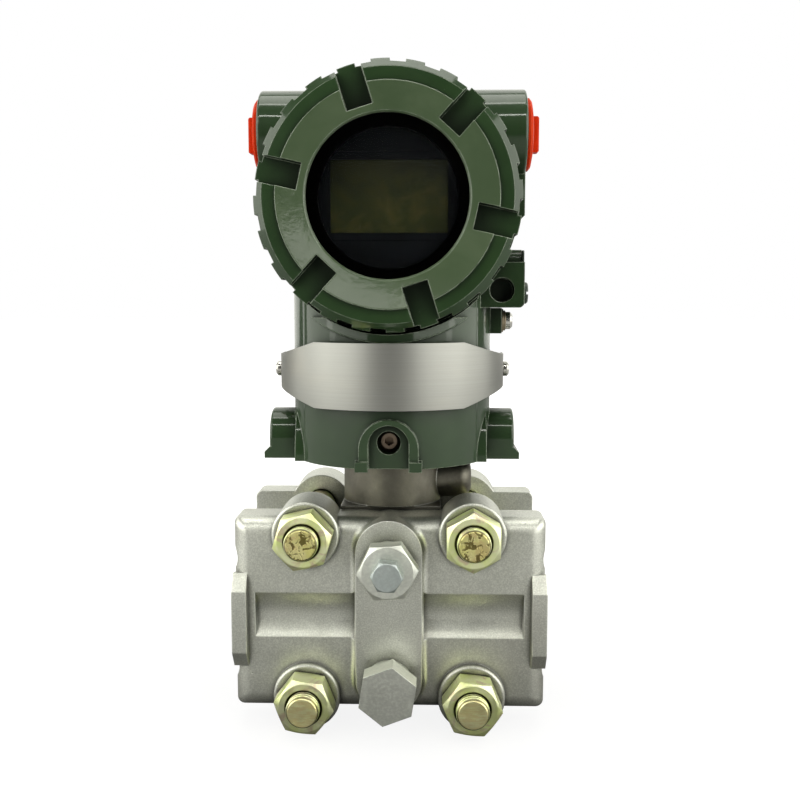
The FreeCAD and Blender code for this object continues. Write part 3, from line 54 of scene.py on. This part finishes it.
class Surface:
    """A material round one Principled shader, with short calls for the nodes that feed it."""

    def __init__(self, name, **settings):
        self.material = bpy.data.materials.new(name)
        self.material.use_nodes = True
        self.tree = self.material.node_tree
        self.shader = self.tree.nodes["Principled BSDF"]
        for key, value in settings.items():
            self.shader.inputs[key.replace("_", " ")].default_value = value
        self.place = self.node("ShaderNodeTexCoord").outputs["Object"]

    def node(self, kind, inputs=(), **settings):
        made = self.tree.nodes.new(kind)
        for key, value in settings.items():
            setattr(made, key, value)
        for key, value in dict(inputs).items():
            self.feed(made.inputs[key], value)
        return made

    def feed(self, socket, value):
        if isinstance(value, bpy.types.NodeSocket):
            self.tree.links.new(value, socket)
        elif isinstance(value, tuple) and len(value) == 3 and socket.type == "RGBA":
            socket.default_value = (*value, 1.0)
        else:
            socket.default_value = value

    def set(self, **values):
        for key, value in values.items():
            self.feed(self.shader.inputs[key.replace("_", " ")], value)
        return self.material

    def stretched(self, x, y, z):
        return self.node("ShaderNodeMapping", {"Vector": self.place, "Scale": (x, y, z)}).outputs["Vector"]

    def noise(self, scale, detail=3.0, roughness=0.55, at=None, warp=0.0):
        return self.node("ShaderNodeTexNoise", {
            "Vector": at or self.place, "Scale": scale, "Detail": detail, "Roughness": roughness,
            "Distortion": warp}).outputs["Fac"]

    def cells(self, scale):
        return self.node("ShaderNodeTexVoronoi", {"Vector": self.place, "Scale": scale}).outputs["Distance"]

    def math(self, kind, a, b=0.0):
        return self.node("ShaderNodeMath", {0: a, 1: b}, operation=kind).outputs[0]

    def times(self, first, *others):
        for other in others:
            first = self.math("MULTIPLY", first, other)
        return first

    def ramp(self, value, low, high, start=0.0, end=1.0):
        """Value mapped smoothly from low..high to start..end."""
        return self.node("ShaderNodeMapRange", {
            "Value": value, "From Min": low, "From Max": high, "To Min": start, "To Max": end},
            interpolation_type="SMOOTHSTEP").outputs["Result"]

    def blend(self, factor, a, b):
        made = self.node("ShaderNodeMix", data_type="RGBA")
        for socket, value in ((made.inputs[0], factor), (made.inputs[6], a), (made.inputs[7], b)):
            self.feed(socket, value)
        return made.outputs[2]

    def soft_normal(self, radius):
        return self.node("ShaderNodeBevel", {"Radius": radius}, samples=6).outputs["Normal"]

    def edges(self, radius):
        """About 1 on edges and 0 on open surface."""
        soft = self.soft_normal(radius)
        hard = self.node("ShaderNodeNewGeometry").outputs["Normal"]
        flat = self.node("ShaderNodeVectorMath", {0: soft, 1: hard}, operation="DOT_PRODUCT").outputs["Value"]
        return self.ramp(flat, 0.995, 0.90)

    def open_air(self, reach, low, high):
        """0 in tight corners and recesses, 1 on open surface."""
        shade = self.node("ShaderNodeAmbientOcclusion", {"Distance": reach}, samples=8).outputs["AO"]
        return self.ramp(shade, low, high)

    def shaded(self, colour, air, share, dark):
        """Painted shade: colour that goes this share of the way to dark where air is 0."""
        return self.blend(air, self.blend(share, colour, dark), colour)

    def bump(self, height, depth, under=None):
        inputs = {"Height": height, "Distance": depth, "Strength": 1.0}
        if under is not None:
            inputs["Normal"] = under
        return self.node("ShaderNodeBump", inputs).outputs["Normal"]

    def axis(self, name):
        return self.node("ShaderNodeSeparateXYZ", {"Vector": self.place}).outputs[name]


def paint(name, seams=False, painted_face_sheen=False):
    """Dark green gloss enamel over a sand-cast skin, with painted shade in recesses.

    For a cover, the raised face is lightened with a painted sheen that stands in for reflected light, and
    seams draws the mould's parting lines on the housing's neck.
    """
    deep, pale, shadow = (0.0115, 0.033, 0.0075), (0.0175, 0.045, 0.0115), (0.001, 0.003, 0.001)
    painted_sheen_colour, primer_and_highlight, dust = (0.070, 0.102, 0.052), (0.35, 0.42, 0.31), (0.20, 0.23, 0.18)
    s = Surface(name, IOR=1.5, Specular_IOR_Level=0.20, Coat_Roughness=0.07, Coat_IOR=1.5)
    colour = s.blend(s.ramp(s.noise(38.0, 3.0), 0.3, 0.7), deep, pale)
    if painted_face_sheen:
        # Painted sheen: the covers' raised faces are lightened with a haze that stands in for reflected
        # light.
        ahead = s.math("LESS_THAN", s.axis("Y"), RAISED_FRONT)
        behind = s.math("GREATER_THAN", s.axis("Y"), RAISED_REAR)
        painted_sheen_mask = s.ramp(s.noise(30.0, 4.0, 0.6, warp=0.4), 0.35, 0.70, 0.60, 1.0)
        colour = s.blend(s.times(s.math("ADD", ahead, behind), painted_sheen_mask), colour, painted_sheen_colour)
    # Painted shade: the colour darkens towards near black in recesses and tight corners.
    air = s.open_air(12 * MM, 0.40, 0.88)
    colour = s.shaded(colour, air, 0.75, shadow)
    # Lighter edges: partly worn paint showing primer, partly a painted highlight where the edges catch the
    # light.
    worn_and_highlit_edges = s.times(s.edges(0.45 * MM), s.ramp(s.noise(160.0, 5.0, 0.7), 0.38, 0.54, 0.15, 1.0))
    colour = s.blend(s.times(worn_and_highlit_edges, 0.85), colour, primer_and_highlight)
    specks = s.ramp(s.cells(520.0), 0.085, 0.05)
    rare = s.ramp(s.noise(75.0, 2.0), 0.60, 0.68)
    colour = s.blend(s.times(specks, rare, 0.30), colour, dust)
    normal = s.soft_normal(0.60 * MM)
    if seams:
        off = s.math("ABSOLUTE", s.math("SUBTRACT", s.math("ABSOLUTE", s.axis("X")), SEAM_X))
        low = s.math("LESS_THAN", s.axis("Z"), SEAM_TOP)
        front = s.times(s.math("LESS_THAN", s.axis("Y"), 0.0), low)
        normal = s.bump(s.times(s.ramp(off, 0.45 * MM, 0.0), front), 0.12 * MM, normal)
    normal = s.bump(s.noise(95.0, 2.0), 0.045 * MM, normal)
    normal = s.bump(s.noise(620.0, 2.0), 0.010 * MM, normal)
    rough = s.ramp(s.noise(60.0, 4.0), 0.2, 0.8, 0.36, 0.50)
    # The coat thins in recesses as well, painted shade on its reflections.
    coat = s.ramp(air, 0.0, 1.0, 0.06, 1.0)
    return s.set(Base_Color=colour, Roughness=rough, Normal=normal, Coat_Normal=normal, Coat_Weight=coat)


def cast(name, dark, light, rough, grain, depth, stain):
    """Cast stainless steel, bead-blasted: fine grain, a few pores, uneven tone, edges lighter partly from
    wear and partly as a painted highlight, painted shade in recesses.
    """
    oil, grit, pore = (0.30, 0.26, 0.20), (0.12, 0.12, 0.10), (0.08, 0.08, 0.07)
    pale_metal, shade, crevice_shade = (0.96, 0.96, 0.92), (0.05, 0.05, 0.04), (0.06, 0.06, 0.05)
    s = Surface(name, Metallic=1.0, IOR=2.0)
    colour = s.blend(s.ramp(s.noise(34.0, 4.0, 0.6), 0.3, 0.7), dark, light)
    colour = s.blend(s.times(s.ramp(s.noise(17.0, 3.0), 0.48, 0.75), stain), colour, oil)
    fine = s.noise(grain, 3.0, 0.6)
    colour = s.blend(s.ramp(fine, 0.35, 0.75, 0.30, 0.0), colour, grit)
    pores = s.times(s.ramp(s.cells(330.0), 0.10, 0.03), s.ramp(s.noise(120.0, 2.0), 0.52, 0.62))
    colour = s.blend(s.times(pores, 0.5), colour, pore)
    # Lighter edges: partly worn bare metal, partly a painted highlight.
    colour = s.blend(s.times(s.edges(0.7 * MM), 0.55), colour, pale_metal)
    # Painted shade: darker in recesses, and darker still in tight crevices.
    colour = s.shaded(colour, s.open_air(12 * MM, 0.28, 0.84), 0.66, shade)
    colour = s.shaded(colour, s.open_air(2.5 * MM, 0.50, 0.95), 0.60, crevice_shade)
    normal = s.soft_normal(0.7 * MM)
    normal = s.bump(s.noise(70.0, 3.0), 0.12 * MM, normal)
    normal = s.bump(pores, -0.10 * MM, normal)
    normal = s.bump(fine, depth, normal)
    roughness = s.ramp(s.noise(90.0, 3.0), 0.2, 0.8, rough - 0.05, rough + 0.06)
    return s.set(Base_Color=colour, Roughness=roughness, Normal=normal)


def from_bolt_axis(s):
    """Distance to the axis of the nearest flange bolt."""
    across = s.math("SUBTRACT", s.math("ABSOLUTE", s.axis("X")), HALF_PITCH)
    height = s.math("SUBTRACT", s.axis("Z"), FLANGE_Z)
    along = s.math("SUBTRACT", s.math("ABSOLUTE", height), HALF_PITCH)
    return s.math("SQRT", s.math("ADD", s.times(across, across), s.times(along, along)))


def zinc(name, end=None):
    """Zinc plating with yellow-green passivation and pinkish clouds.

    Without an end it is for nuts and heads, with painted shade in a ring round the bolt hole. A stud has dark
    grooves in its thread and an end that is pale or rusty. Painted shade also darkens tight corners.
    """
    green, yellow, pinkish = (0.88, 0.96, 0.42), (0.97, 1.0, 0.64), (0.72, 0.56, 0.42)
    pale_metal, ring, crevice_shade = (0.80, 0.80, 0.70), (0.035, 0.032, 0.012), (0.05, 0.045, 0.015)
    brown, straw, gold = (0.10, 0.075, 0.025), (0.90, 0.78, 0.38), (1.0, 0.96, 0.56)
    tarnish, rust_brown = (0.66, 0.54, 0.15), (0.10, 0.07, 0.015)
    s = Surface(name, Metallic=1.0, IOR=1.8)
    cloud = s.noise(120.0, 3.0, 0.6, warp=0.6)
    colour = s.blend(s.ramp(cloud, 0.35, 0.62), green, yellow)
    pink = s.ramp(s.noise(95.0, 3.0, 0.6, s.stretched(1.0, 0.7, 1.3), 1.2), 0.52, 0.68)
    colour = s.blend(s.times(pink, 0.7), colour, pinkish)
    scuff = s.ramp(s.noise(900.0, 4.0, 0.7), 0.55, 0.75)
    colour = s.blend(s.times(scuff, 0.25), colour, pale_metal)
    reach = from_bolt_axis(s)
    if not end:
        # Painted shade: a dark ring on the nut's front face round the bolt hole, where the thread gap lies in
        # shadow.
        bore_shade = s.ramp(reach, THREAD_R + 0.5 * MM, THREAD_R + 1.1 * MM, 0.85, 0.0)
        in_front = s.math("LESS_THAN", s.axis("Y"), 0.0)
        colour = s.blend(s.times(bore_shade, in_front), colour, ring)
    # Painted shade in tight corners, such as where a stud meets its nut.
    colour = s.shaded(colour, s.open_air(3 * MM, 0.30, 0.85), 0.75, crevice_shade)
    normal = s.soft_normal((0.10 if end else 0.35) * MM)
    dents = s.noise(260.0, 3.0)
    if end:
        on_end = s.math("LESS_THAN", s.axis("Y"), STUD_END)
        groove = s.ramp(reach, THREAD_R - 0.05 * MM, THREAD_R - 0.42 * MM, 0.0, 0.85)
        colour = s.blend(s.times(groove, s.math("SUBTRACT", 1.0, on_end)), colour, brown)
    if end == "pale":
        scratches = s.noise(1.0, 3.0, 0.6, s.stretched(260.0, 260.0, 1500.0), 0.3)
        pale = s.blend(s.ramp(scratches, 0.42, 0.62), straw, gold)
        colour = s.blend(s.times(on_end, 0.85), colour, pale)
    if end == "rusty":
        rust = s.times(s.ramp(s.noise(300.0, 4.0, 0.62, warp=1.4), 0.48, 0.57), on_end)
        colour = s.blend(s.times(on_end, 0.6), colour, tarnish)
        colour = s.blend(s.times(rust, 0.85), colour, rust_brown)
        dents = s.math("ADD", dents, s.times(rust, -1.4))
    normal = s.bump(dents, 0.14 * MM, normal)
    normal = s.bump(s.noise(1500.0, 2.0), 0.015 * MM, normal)
    rough = s.ramp(s.noise(200.0, 3.0), 0.25, 0.75, 0.32, 0.50)
    return s.set(Base_Color=colour, Roughness=rough, Normal=normal)


def steel(name, dark, light, rough, brushed, depth):
    """Machined steel; brushed gives the stretch of its tool marks along X, Y and Z."""
    s = Surface(name, Metallic=1.0, IOR=2.0)
    marks = s.noise(1.0, 3.0, 0.6, s.stretched(*brushed))
    colour = s.blend(s.ramp(s.noise(60.0, 3.0), 0.3, 0.7), dark, light)
    colour = s.blend(s.ramp(marks, 0.35, 0.75, 0.16, 0.0), colour, (0.10, 0.10, 0.10))
    normal = s.soft_normal(0.3 * MM)
    normal = s.bump(marks, depth, normal)
    roughness = s.ramp(marks, 0.3, 0.7, rough - 0.05, rough + 0.07)
    return s.set(Base_Color=colour, Roughness=roughness, Normal=normal)


def plastic(name, dark, light, rough, grain, depth, **settings):
    """Moulded plastic, rubber or smooth paint with a slight grain and uneven gloss."""
    s = Surface(name, IOR=1.48, **settings)
    colour = s.blend(s.ramp(s.noise(110.0, 3.0), 0.3, 0.7), dark, light)
    normal = s.soft_normal(0.3 * MM)
    normal = s.bump(s.noise(90.0, 2.0), 0.05 * MM, normal)
    normal = s.bump(s.noise(grain, 2.0), depth, normal)
    roughness = s.ramp(s.noise(150.0, 4.0), 0.25, 0.75, rough - 0.04, rough + 0.08)
    return s.set(Base_Color=colour, Roughness=roughness, Normal=normal)


def glass(name):
    """Thick window glass with a coating that takes its reflections away, and faint smears."""
    s = Surface(name, IOR=1.02, Transmission_Weight=1.0, Coat_Weight=0.15, Coat_IOR=1.25, Coat_Roughness=0.25)
    smear = s.noise(1.0, 4.0, 0.6, s.stretched(60.0, 60.0, 130.0), 0.8)
    rough = s.ramp(smear, 0.45, 0.85, 0.0, 0.05)
    tint = s.blend(s.ramp(smear, 0.3, 0.8), (0.93, 0.96, 0.94), (0.88, 0.93, 0.90))
    return s.set(Base_Color=tint, Roughness=rough)


def screen(name):
    """Unlit liquid crystal panel: dark olive, mottled, with painted shade that darkens it towards the top."""
    dark, light, top_shade_colour = (0.024, 0.025, 0.009), (0.052, 0.047, 0.015), (0.008, 0.009, 0.006)
    s = Surface(name, IOR=1.5, Specular_IOR_Level=0.12)
    mottle = s.ramp(s.noise(75.0, 4.0, 0.6, warp=0.5), 0.36, 0.64)
    # Painted shade: darker towards the top, lighter towards the foot.
    top_shade = s.ramp(s.axis("Z"), COVER_Z + 14 * MM, COVER_Z - 8 * MM, 0.25, 1.0)
    colour = s.blend(top_shade, top_shade_colour, s.blend(mottle, dark, light))
    rough = s.ramp(s.noise(700.0, 2.0), 0.3, 0.7, 0.18, 0.28)
    normal = s.bump(s.noise(1400.0, 1.0), 0.004 * MM)
    return s.set(Base_Color=colour, Roughness=rough, Normal=normal)


def board(name):
    """Solder mask with faint copper runs under it."""
    s = Surface(name, IOR=1.5)
    runs = s.node("ShaderNodeTexBrick", {
        "Vector": s.place, "Scale": 160.0, "Mortar Size": 0.05, "Color1": (0.0, 0.0, 0.0),
        "Color2": (0.1, 0.1, 0.1), "Mortar": (1.0, 1.0, 1.0)}).outputs["Fac"]
    colour = s.blend(s.times(runs, 0.6), (0.008, 0.055, 0.022), (0.03, 0.12, 0.05))
    normal = s.bump(s.math("ADD", runs, s.noise(800.0, 2.0)), 0.02 * MM)
    rough = s.ramp(s.noise(300.0, 2.0), 0.3, 0.7, 0.25, 0.38)
    return s.set(Base_Color=colour, Roughness=rough, Normal=normal)


def nameplate_sheet(name):
    """Stainless sheet, brushed along its length."""
    s = Surface(name, Metallic=1.0, IOR=2.0, Anisotropic=0.75)
    lines = s.noise(1.0, 3.0, 0.6, s.stretched(18.0, 18.0, 4200.0))
    soft = s.noise(1.0, 3.0, 0.6, s.stretched(24.0, 24.0, 60.0))
    colour = s.blend(s.ramp(lines, 0.3, 0.7), (0.315, 0.315, 0.295), (0.34, 0.34, 0.32))
    colour = s.blend(s.ramp(soft, 0.45, 0.8, 0.0, 0.30), colour, (0.42, 0.39, 0.33))
    normal = s.bump(lines, 0.0002 * MM, s.soft_normal(0.15 * MM))
    rough = s.ramp(lines, 0.25, 0.75, 0.31, 0.34)
    tangent = s.node("ShaderNodeTangent", direction_type="RADIAL", axis="Z").outputs["Tangent"]
    return s.set(Base_Color=colour, Roughness=rough, Normal=normal, Tangent=tangent)


BLASTED = cast("blasted_cast_steel", (0.76, 0.77, 0.70), (0.88, 0.89, 0.82), 0.41, 1900.0, 0.028 * MM, 0.30)
ROUGH_CAST = cast("rough_cast_steel", (0.125, 0.117, 0.096), (0.25, 0.235, 0.197),
                  0.44, 900.0, 0.07 * MM, 0.60)
GREEN = paint("green_enamel", painted_face_sheen=True)
SEAMED_GREEN = paint("green_enamel_seamed", seams=True)
ZINC = zinc("zinc_yellow")
STUD_ZINC = zinc("zinc_yellow_stud", end="pale")
STAINED_ZINC = zinc("zinc_yellow_stained", end="rusty")
TURNED = steel("turned_steel", (0.80, 0.82, 0.745), (0.92, 0.94, 0.865),
               0.40, (700.0, 2600.0, 900.0), 0.012 * MM)
BLUISH = steel("screw_face_steel", (0.53, 0.585, 0.575), (0.64, 0.70, 0.69),
               0.42, (900.0, 2600.0, 900.0), 0.010 * MM)
BRIGHT = steel("bright_screw_steel", (0.62, 0.60, 0.55), (0.78, 0.77, 0.73),
               0.20, (1500.0, 1500.0, 1500.0), 0.006 * MM)
BROWNISH = steel("tarnished_washer", (0.26, 0.21, 0.14), (0.42, 0.35, 0.25),
                 0.38, (900.0, 900.0, 900.0), 0.015 * MM)
SET_SCREW = steel("set_screw_steel", (0.16, 0.115, 0.08), (0.30, 0.23, 0.17),
                  0.38, (800.0, 800.0, 800.0), 0.02 * MM)
SHEET = nameplate_sheet("brushed_sheet")
GREY_PAINT = plastic("grey_green_paint", (0.035, 0.05, 0.038), (0.055, 0.072, 0.055), 0.30, 500.0, 0.02 * MM)
RUBBER = plastic("black_rubber", (0.010, 0.010, 0.010), (0.020, 0.020, 0.019), 0.62, 900.0, 0.03 * MM)
BLACK = plastic("black_mask", (0.0022, 0.0026, 0.004), (0.0040, 0.0045, 0.007), 0.60, 1500.0, 0.01 * MM,
                Specular_IOR_Level=0.06)
DARK_RING = plastic("black_anodised", (0.005, 0.005, 0.005), (0.008, 0.008, 0.009), 0.50, 1300.0, 0.01 * MM,
                    Specular_IOR_Level=0.15)
BLOCK = plastic("terminal_plastic", (0.012, 0.012, 0.013), (0.022, 0.022, 0.023), 0.42, 800.0, 0.02 * MM)
RIBBON = plastic("ribbon_jacket", (0.22, 0.22, 0.23), (0.32, 0.32, 0.33), 0.45, 1100.0, 0.02 * MM)
RED = plastic("red_plug", (0.54, 0.028, 0.004), (0.62, 0.044, 0.008), 0.36, 500.0, 0.012 * MM,
              Specular_IOR_Level=0.04, Subsurface_Weight=0.12, Subsurface_Scale=0.004)
GLASS = glass("window_glass")
SCREEN = screen("display_screen")
BOARD = board("circuit_board")

FINISHES = {
    BLASTED: ["front_flange", "rear_flange"],
    ROUGH_CAST: ["capsule_body"],
    GREEN: ["front_cover", "rear_cover"],
    SEAMED_GREEN: ["housing"],
    ZINC: ["flange_nut_1", "flange_nut_2", "flange_nut_3", "flange_nut_4"],
    TURNED: ["front_vent_plug", "rear_vent_plug", "front_drain_plug", "rear_drain_plug", "sensor_header",
             "front_diaphragm", "rear_diaphragm"],
    BLUISH: ["front_vent_screw", "rear_vent_screw"],
    BRIGHT: ["nameplate_screw_left", "nameplate_screw_right", "earth_screw", "terminal_screws",
             "board_spacers"],
    BROWNISH: ["earth_washer", "earth_lock_washer"],
    SET_SCREW: ["front_set_screw", "rear_set_screw"],
    SHEET: ["nameplate"],
    GREY_PAINT: ["adjust_plate", "adjust_screw"],
    RUBBER: ["front_gasket", "rear_gasket", "neck_seal", "front_cover_seal", "rear_cover_seal",
             "window_gasket"],
    BLACK: ["display_frame"],
    DARK_RING: ["window_retainer"],
    BLOCK: ["terminal_block"],
    RIBBON: ["sensor_cable"],
    RED: ["left_conduit_plug", "right_conduit_plug"],
    GLASS: ["window_glass"],
    SCREEN: ["display_panel"],
    BOARD: ["amplifier_board", "display_board"],
}
for finish, names in FINISHES.items():
    for name in names:
        mesh = nodes[name].data
        mesh.materials.clear()
        mesh.materials.append(finish)

# Flange bolts with rolled threads and chamfered heads, in place of the plain ones.

THREAD_PITCH, THREAD_DEPTH, FLANK_SLOPE = 1.75 * MM, 0.75 * MM, 1.35
BOLT_TIP, THREAD_END, SHANK_END = -51.0 * MM, -38.0 * MM, 37.0 * MM
TIP_CHAMFER, TIP_SLOPE = 0.95 * MM, 0.9
HEAD_LOW, HEAD_HIGH, HEAD_APOTHEM = 36.8 * MM, 44.3 * MM, 9.5 * MM
HEAD_BEVEL, HEAD_CHAMFER, HEAD_SLOPE = 1.0 * MM, 0.3 * MM, 1.7
ROWS_A_PITCH, SHANK_SIDES, HEAD_SIDES = 10, 56, 72


def turned(name, stations, radius, segments, material, body, where):
    """Closed shell about the Y axis: radius(y, angle) at each station, with flat ends."""
    mesh = bmesh.new()
    rings = []
    for y in stations:
        ring = []
        for step in range(segments):
            angle = 2 * math.pi * step / segments
            r = radius(y, angle)
            ring.append(mesh.verts.new((where[0] + r * math.cos(angle), y, where[2] + r * math.sin(angle))))
        rings.append(ring)
    for near, far in zip(rings, rings[1:]):
        for step in range(segments):
            after = (step + 1) % segments
            mesh.faces.new((near[step], near[after], far[after], far[step]))
    mesh.faces.new(list(reversed(rings[0])))
    mesh.faces.new(rings[-1])
    bmesh.ops.recalc_face_normals(mesh, faces=mesh.faces)
    data = bpy.data.meshes.new(name)
    mesh.to_mesh(data)
    mesh.free()
    data.materials.append(material)
    piece = bpy.data.objects.new(name, data)
    bpy.context.scene.collection.objects.link(piece)
    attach(piece, body)
    return piece


def bolt_radius(y, angle):
    """Plain shank, then a thread that fades in and runs out at the chamfered tip."""
    if y > THREAD_END:
        return THREAD_R
    phase = (y / THREAD_PITCH + angle / (2 * math.pi)) % 1.0
    crest = min(1.0, FLANK_SLOPE * abs(2 * phase - 1))
    fade = min(1.0, (THREAD_END - y) / THREAD_PITCH)
    cut = THREAD_DEPTH * (1 - crest) * fade
    return min(THREAD_R - cut, THREAD_R - TIP_CHAMFER + TIP_SLOPE * (y - BOLT_TIP))


def head_radius(y, angle):
    """Hexagon, cut by the cone of its chamfer."""
    across = HEAD_APOTHEM / math.cos((angle + math.pi / 6) % (math.pi / 3) - math.pi / 6)
    return min(across, HEAD_APOTHEM - HEAD_CHAMFER + (HEAD_HIGH - y) * HEAD_SLOPE)


thread_rows = round((THREAD_END - BOLT_TIP) / (THREAD_PITCH / ROWS_A_PITCH))
bolt_rows = [BOLT_TIP + (THREAD_END - BOLT_TIP) * i / thread_rows for i in range(thread_rows + 1)]
bolt_rows.append(SHANK_END)
head_rows = [HEAD_LOW] + [HEAD_HIGH - HEAD_BEVEL * share for share in (1.0, 0.6, 0.25, 0.0)]
corners = {1: (-1, 1), 2: (1, 1), 3: (-1, -1), 4: (1, -1)}
for number, (sx, sz) in corners.items():
    where = (sx * HALF_PITCH, 0.0, FLANGE_Z + sz * HALF_PITCH)
    finish = STAINED_ZINC if sz > 0 else STUD_ZINC
    shank = turned(f"bolt_{number}_thread", bolt_rows, bolt_radius, SHANK_SIDES, finish, "sensor", where)
    head = turned(f"bolt_{number}_head", head_rows, head_radius, HEAD_SIDES, ZINC, "sensor", where)
    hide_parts(f"flange_bolt_{number}")

# Camera, floor and soft studio light.

CAMERA_AT, CAMERA_DOWN, CAMERA_TURN = (0.0140, -0.3809, 0.1595), 6.127, 1.652  # angles in degrees
SENSOR_WIDTH, FOCAL_LENGTH = 36.0, 43.86  # millimetres
FLOOR_REACH, FLOOR_Z = 6.0, -0.0003
MIDDLE = (0.0, 0.0, 0.13)  # what the lights aim at
WARM_WHITE = (1.0, 1.0, 0.93)
AMBIENT = 0.05

camera_data = bpy.data.cameras.new("camera")
camera_data.sensor_width = SENSOR_WIDTH
camera_data.lens = FOCAL_LENGTH
camera = bpy.data.objects.new("camera", camera_data)
camera.location = CAMERA_AT
camera.rotation_euler = Euler((math.radians(90 - CAMERA_DOWN), 0.0, math.radians(CAMERA_TURN)))
bpy.context.scene.collection.objects.link(camera)
bpy.context.scene.camera = camera


def floor():
    """Pale floor with painted shade close to the object; the camera sees it nearly white."""
    mesh = bmesh.new()
    bmesh.ops.create_grid(mesh, x_segments=2, y_segments=2, size=FLOOR_REACH)
    data = bpy.data.meshes.new("floor")
    mesh.to_mesh(data)
    mesh.free()
    s = Surface("pale_floor", Roughness=0.9)
    shade = s.blend(s.ramp(s.noise(8.0, 2.0), 0.3, 0.7), (0.37, 0.37, 0.37), (0.39, 0.39, 0.39))
    seen = s.node("ShaderNodeLightPath").outputs["Is Camera Ray"]
    away = s.node("ShaderNodeVectorMath", {0: s.place}, operation="LENGTH").outputs["Value"]
    # Painted shade: the floor's colour darkens close to the object, so the object's undersides mirror a
    # darker floor.
    shade = s.blend(s.ramp(away, 0.09, 0.22), (0.10, 0.10, 0.10), shade)
    # To the camera the floor glows nearly white, dimmed towards the object as a painted soft shadow; to
    # everything else it glows faintly, painted light.
    glow = s.times(seen, s.ramp(away, 0.15, 1.3, 0.86, 1.0))
    s.set(Base_Color=shade, Emission_Color=(1.0, 1.0, 1.0), Emission_Strength=s.math("ADD", glow, 0.02))
    data.materials.append(s.material)
    piece = bpy.data.objects.new("floor", data)
    piece.location = (0.0, 0.0, FLOOR_Z)
    bpy.context.scene.collection.objects.link(piece)


def softbox(name, at, size, power, aim=MIDDLE):
    data = bpy.data.lights.new(name, "AREA")
    data.shape = "RECTANGLE"
    data.size, data.size_y = size
    data.energy = power
    data.color = WARM_WHITE
    light = bpy.data.objects.new(name, data)
    light.location = at
    light.rotation_euler = (Vector(aim) - Vector(at)).to_track_quat("-Z", "Y").to_euler()
    light.visible_camera = False
    bpy.context.scene.collection.objects.link(light)


floor()
softbox("front_left", (-0.76, -0.66, 0.34), (0.95, 1.15), 7.5)
softbox("front_right", (0.76, -0.66, 0.34), (0.95, 1.15), 7.5)
softbox("ceiling", (0.0, 0.10, 1.35), (1.10, 0.80), 7.2)
softbox("overhead", (0.0, -0.17, 1.15), (1.2, 0.05), 0.8)
softbox("overhead_front", (0.0, -0.85, 1.05), (1.2, 0.05), 2.6)
softbox("backdrop", (0.0, 1.60, 0.90), (4.0, 2.4), 30.0)
softbox("left_wall", (-1.15, 0.00, 0.42), (1.1, 1.3), 8.0)
softbox("right_wall", (1.15, 0.00, 0.42), (1.1, 1.3), 8.0)
softbox("over_camera", (-0.008, -1.00, 0.335), (0.09, 0.06), 0.055, aim=(0.0, 0.0, 0.165))

# White to the camera's own rays, and only faint to the surfaces.
world = bpy.data.worlds.new("studio")
bpy.context.scene.world = world
world.use_nodes = True
backdrop = world.node_tree.nodes["Background"]
backdrop.inputs["Color"].default_value = (1.0, 1.0, 1.0, 1.0)
seen = world.node_tree.nodes.new("ShaderNodeLightPath")
strength = world.node_tree.nodes.new("ShaderNodeMapRange")
strength.inputs["To Min"].default_value = AMBIENT
strength.inputs["To Max"].default_value = 1.0
world.node_tree.links.new(seen.outputs["Is Camera Ray"], strength.inputs["Value"])
world.node_tree.links.new(strength.outputs["Result"], backdrop.inputs["Strength"])

bpy.context.scene.view_settings.view_transform = "Standard"
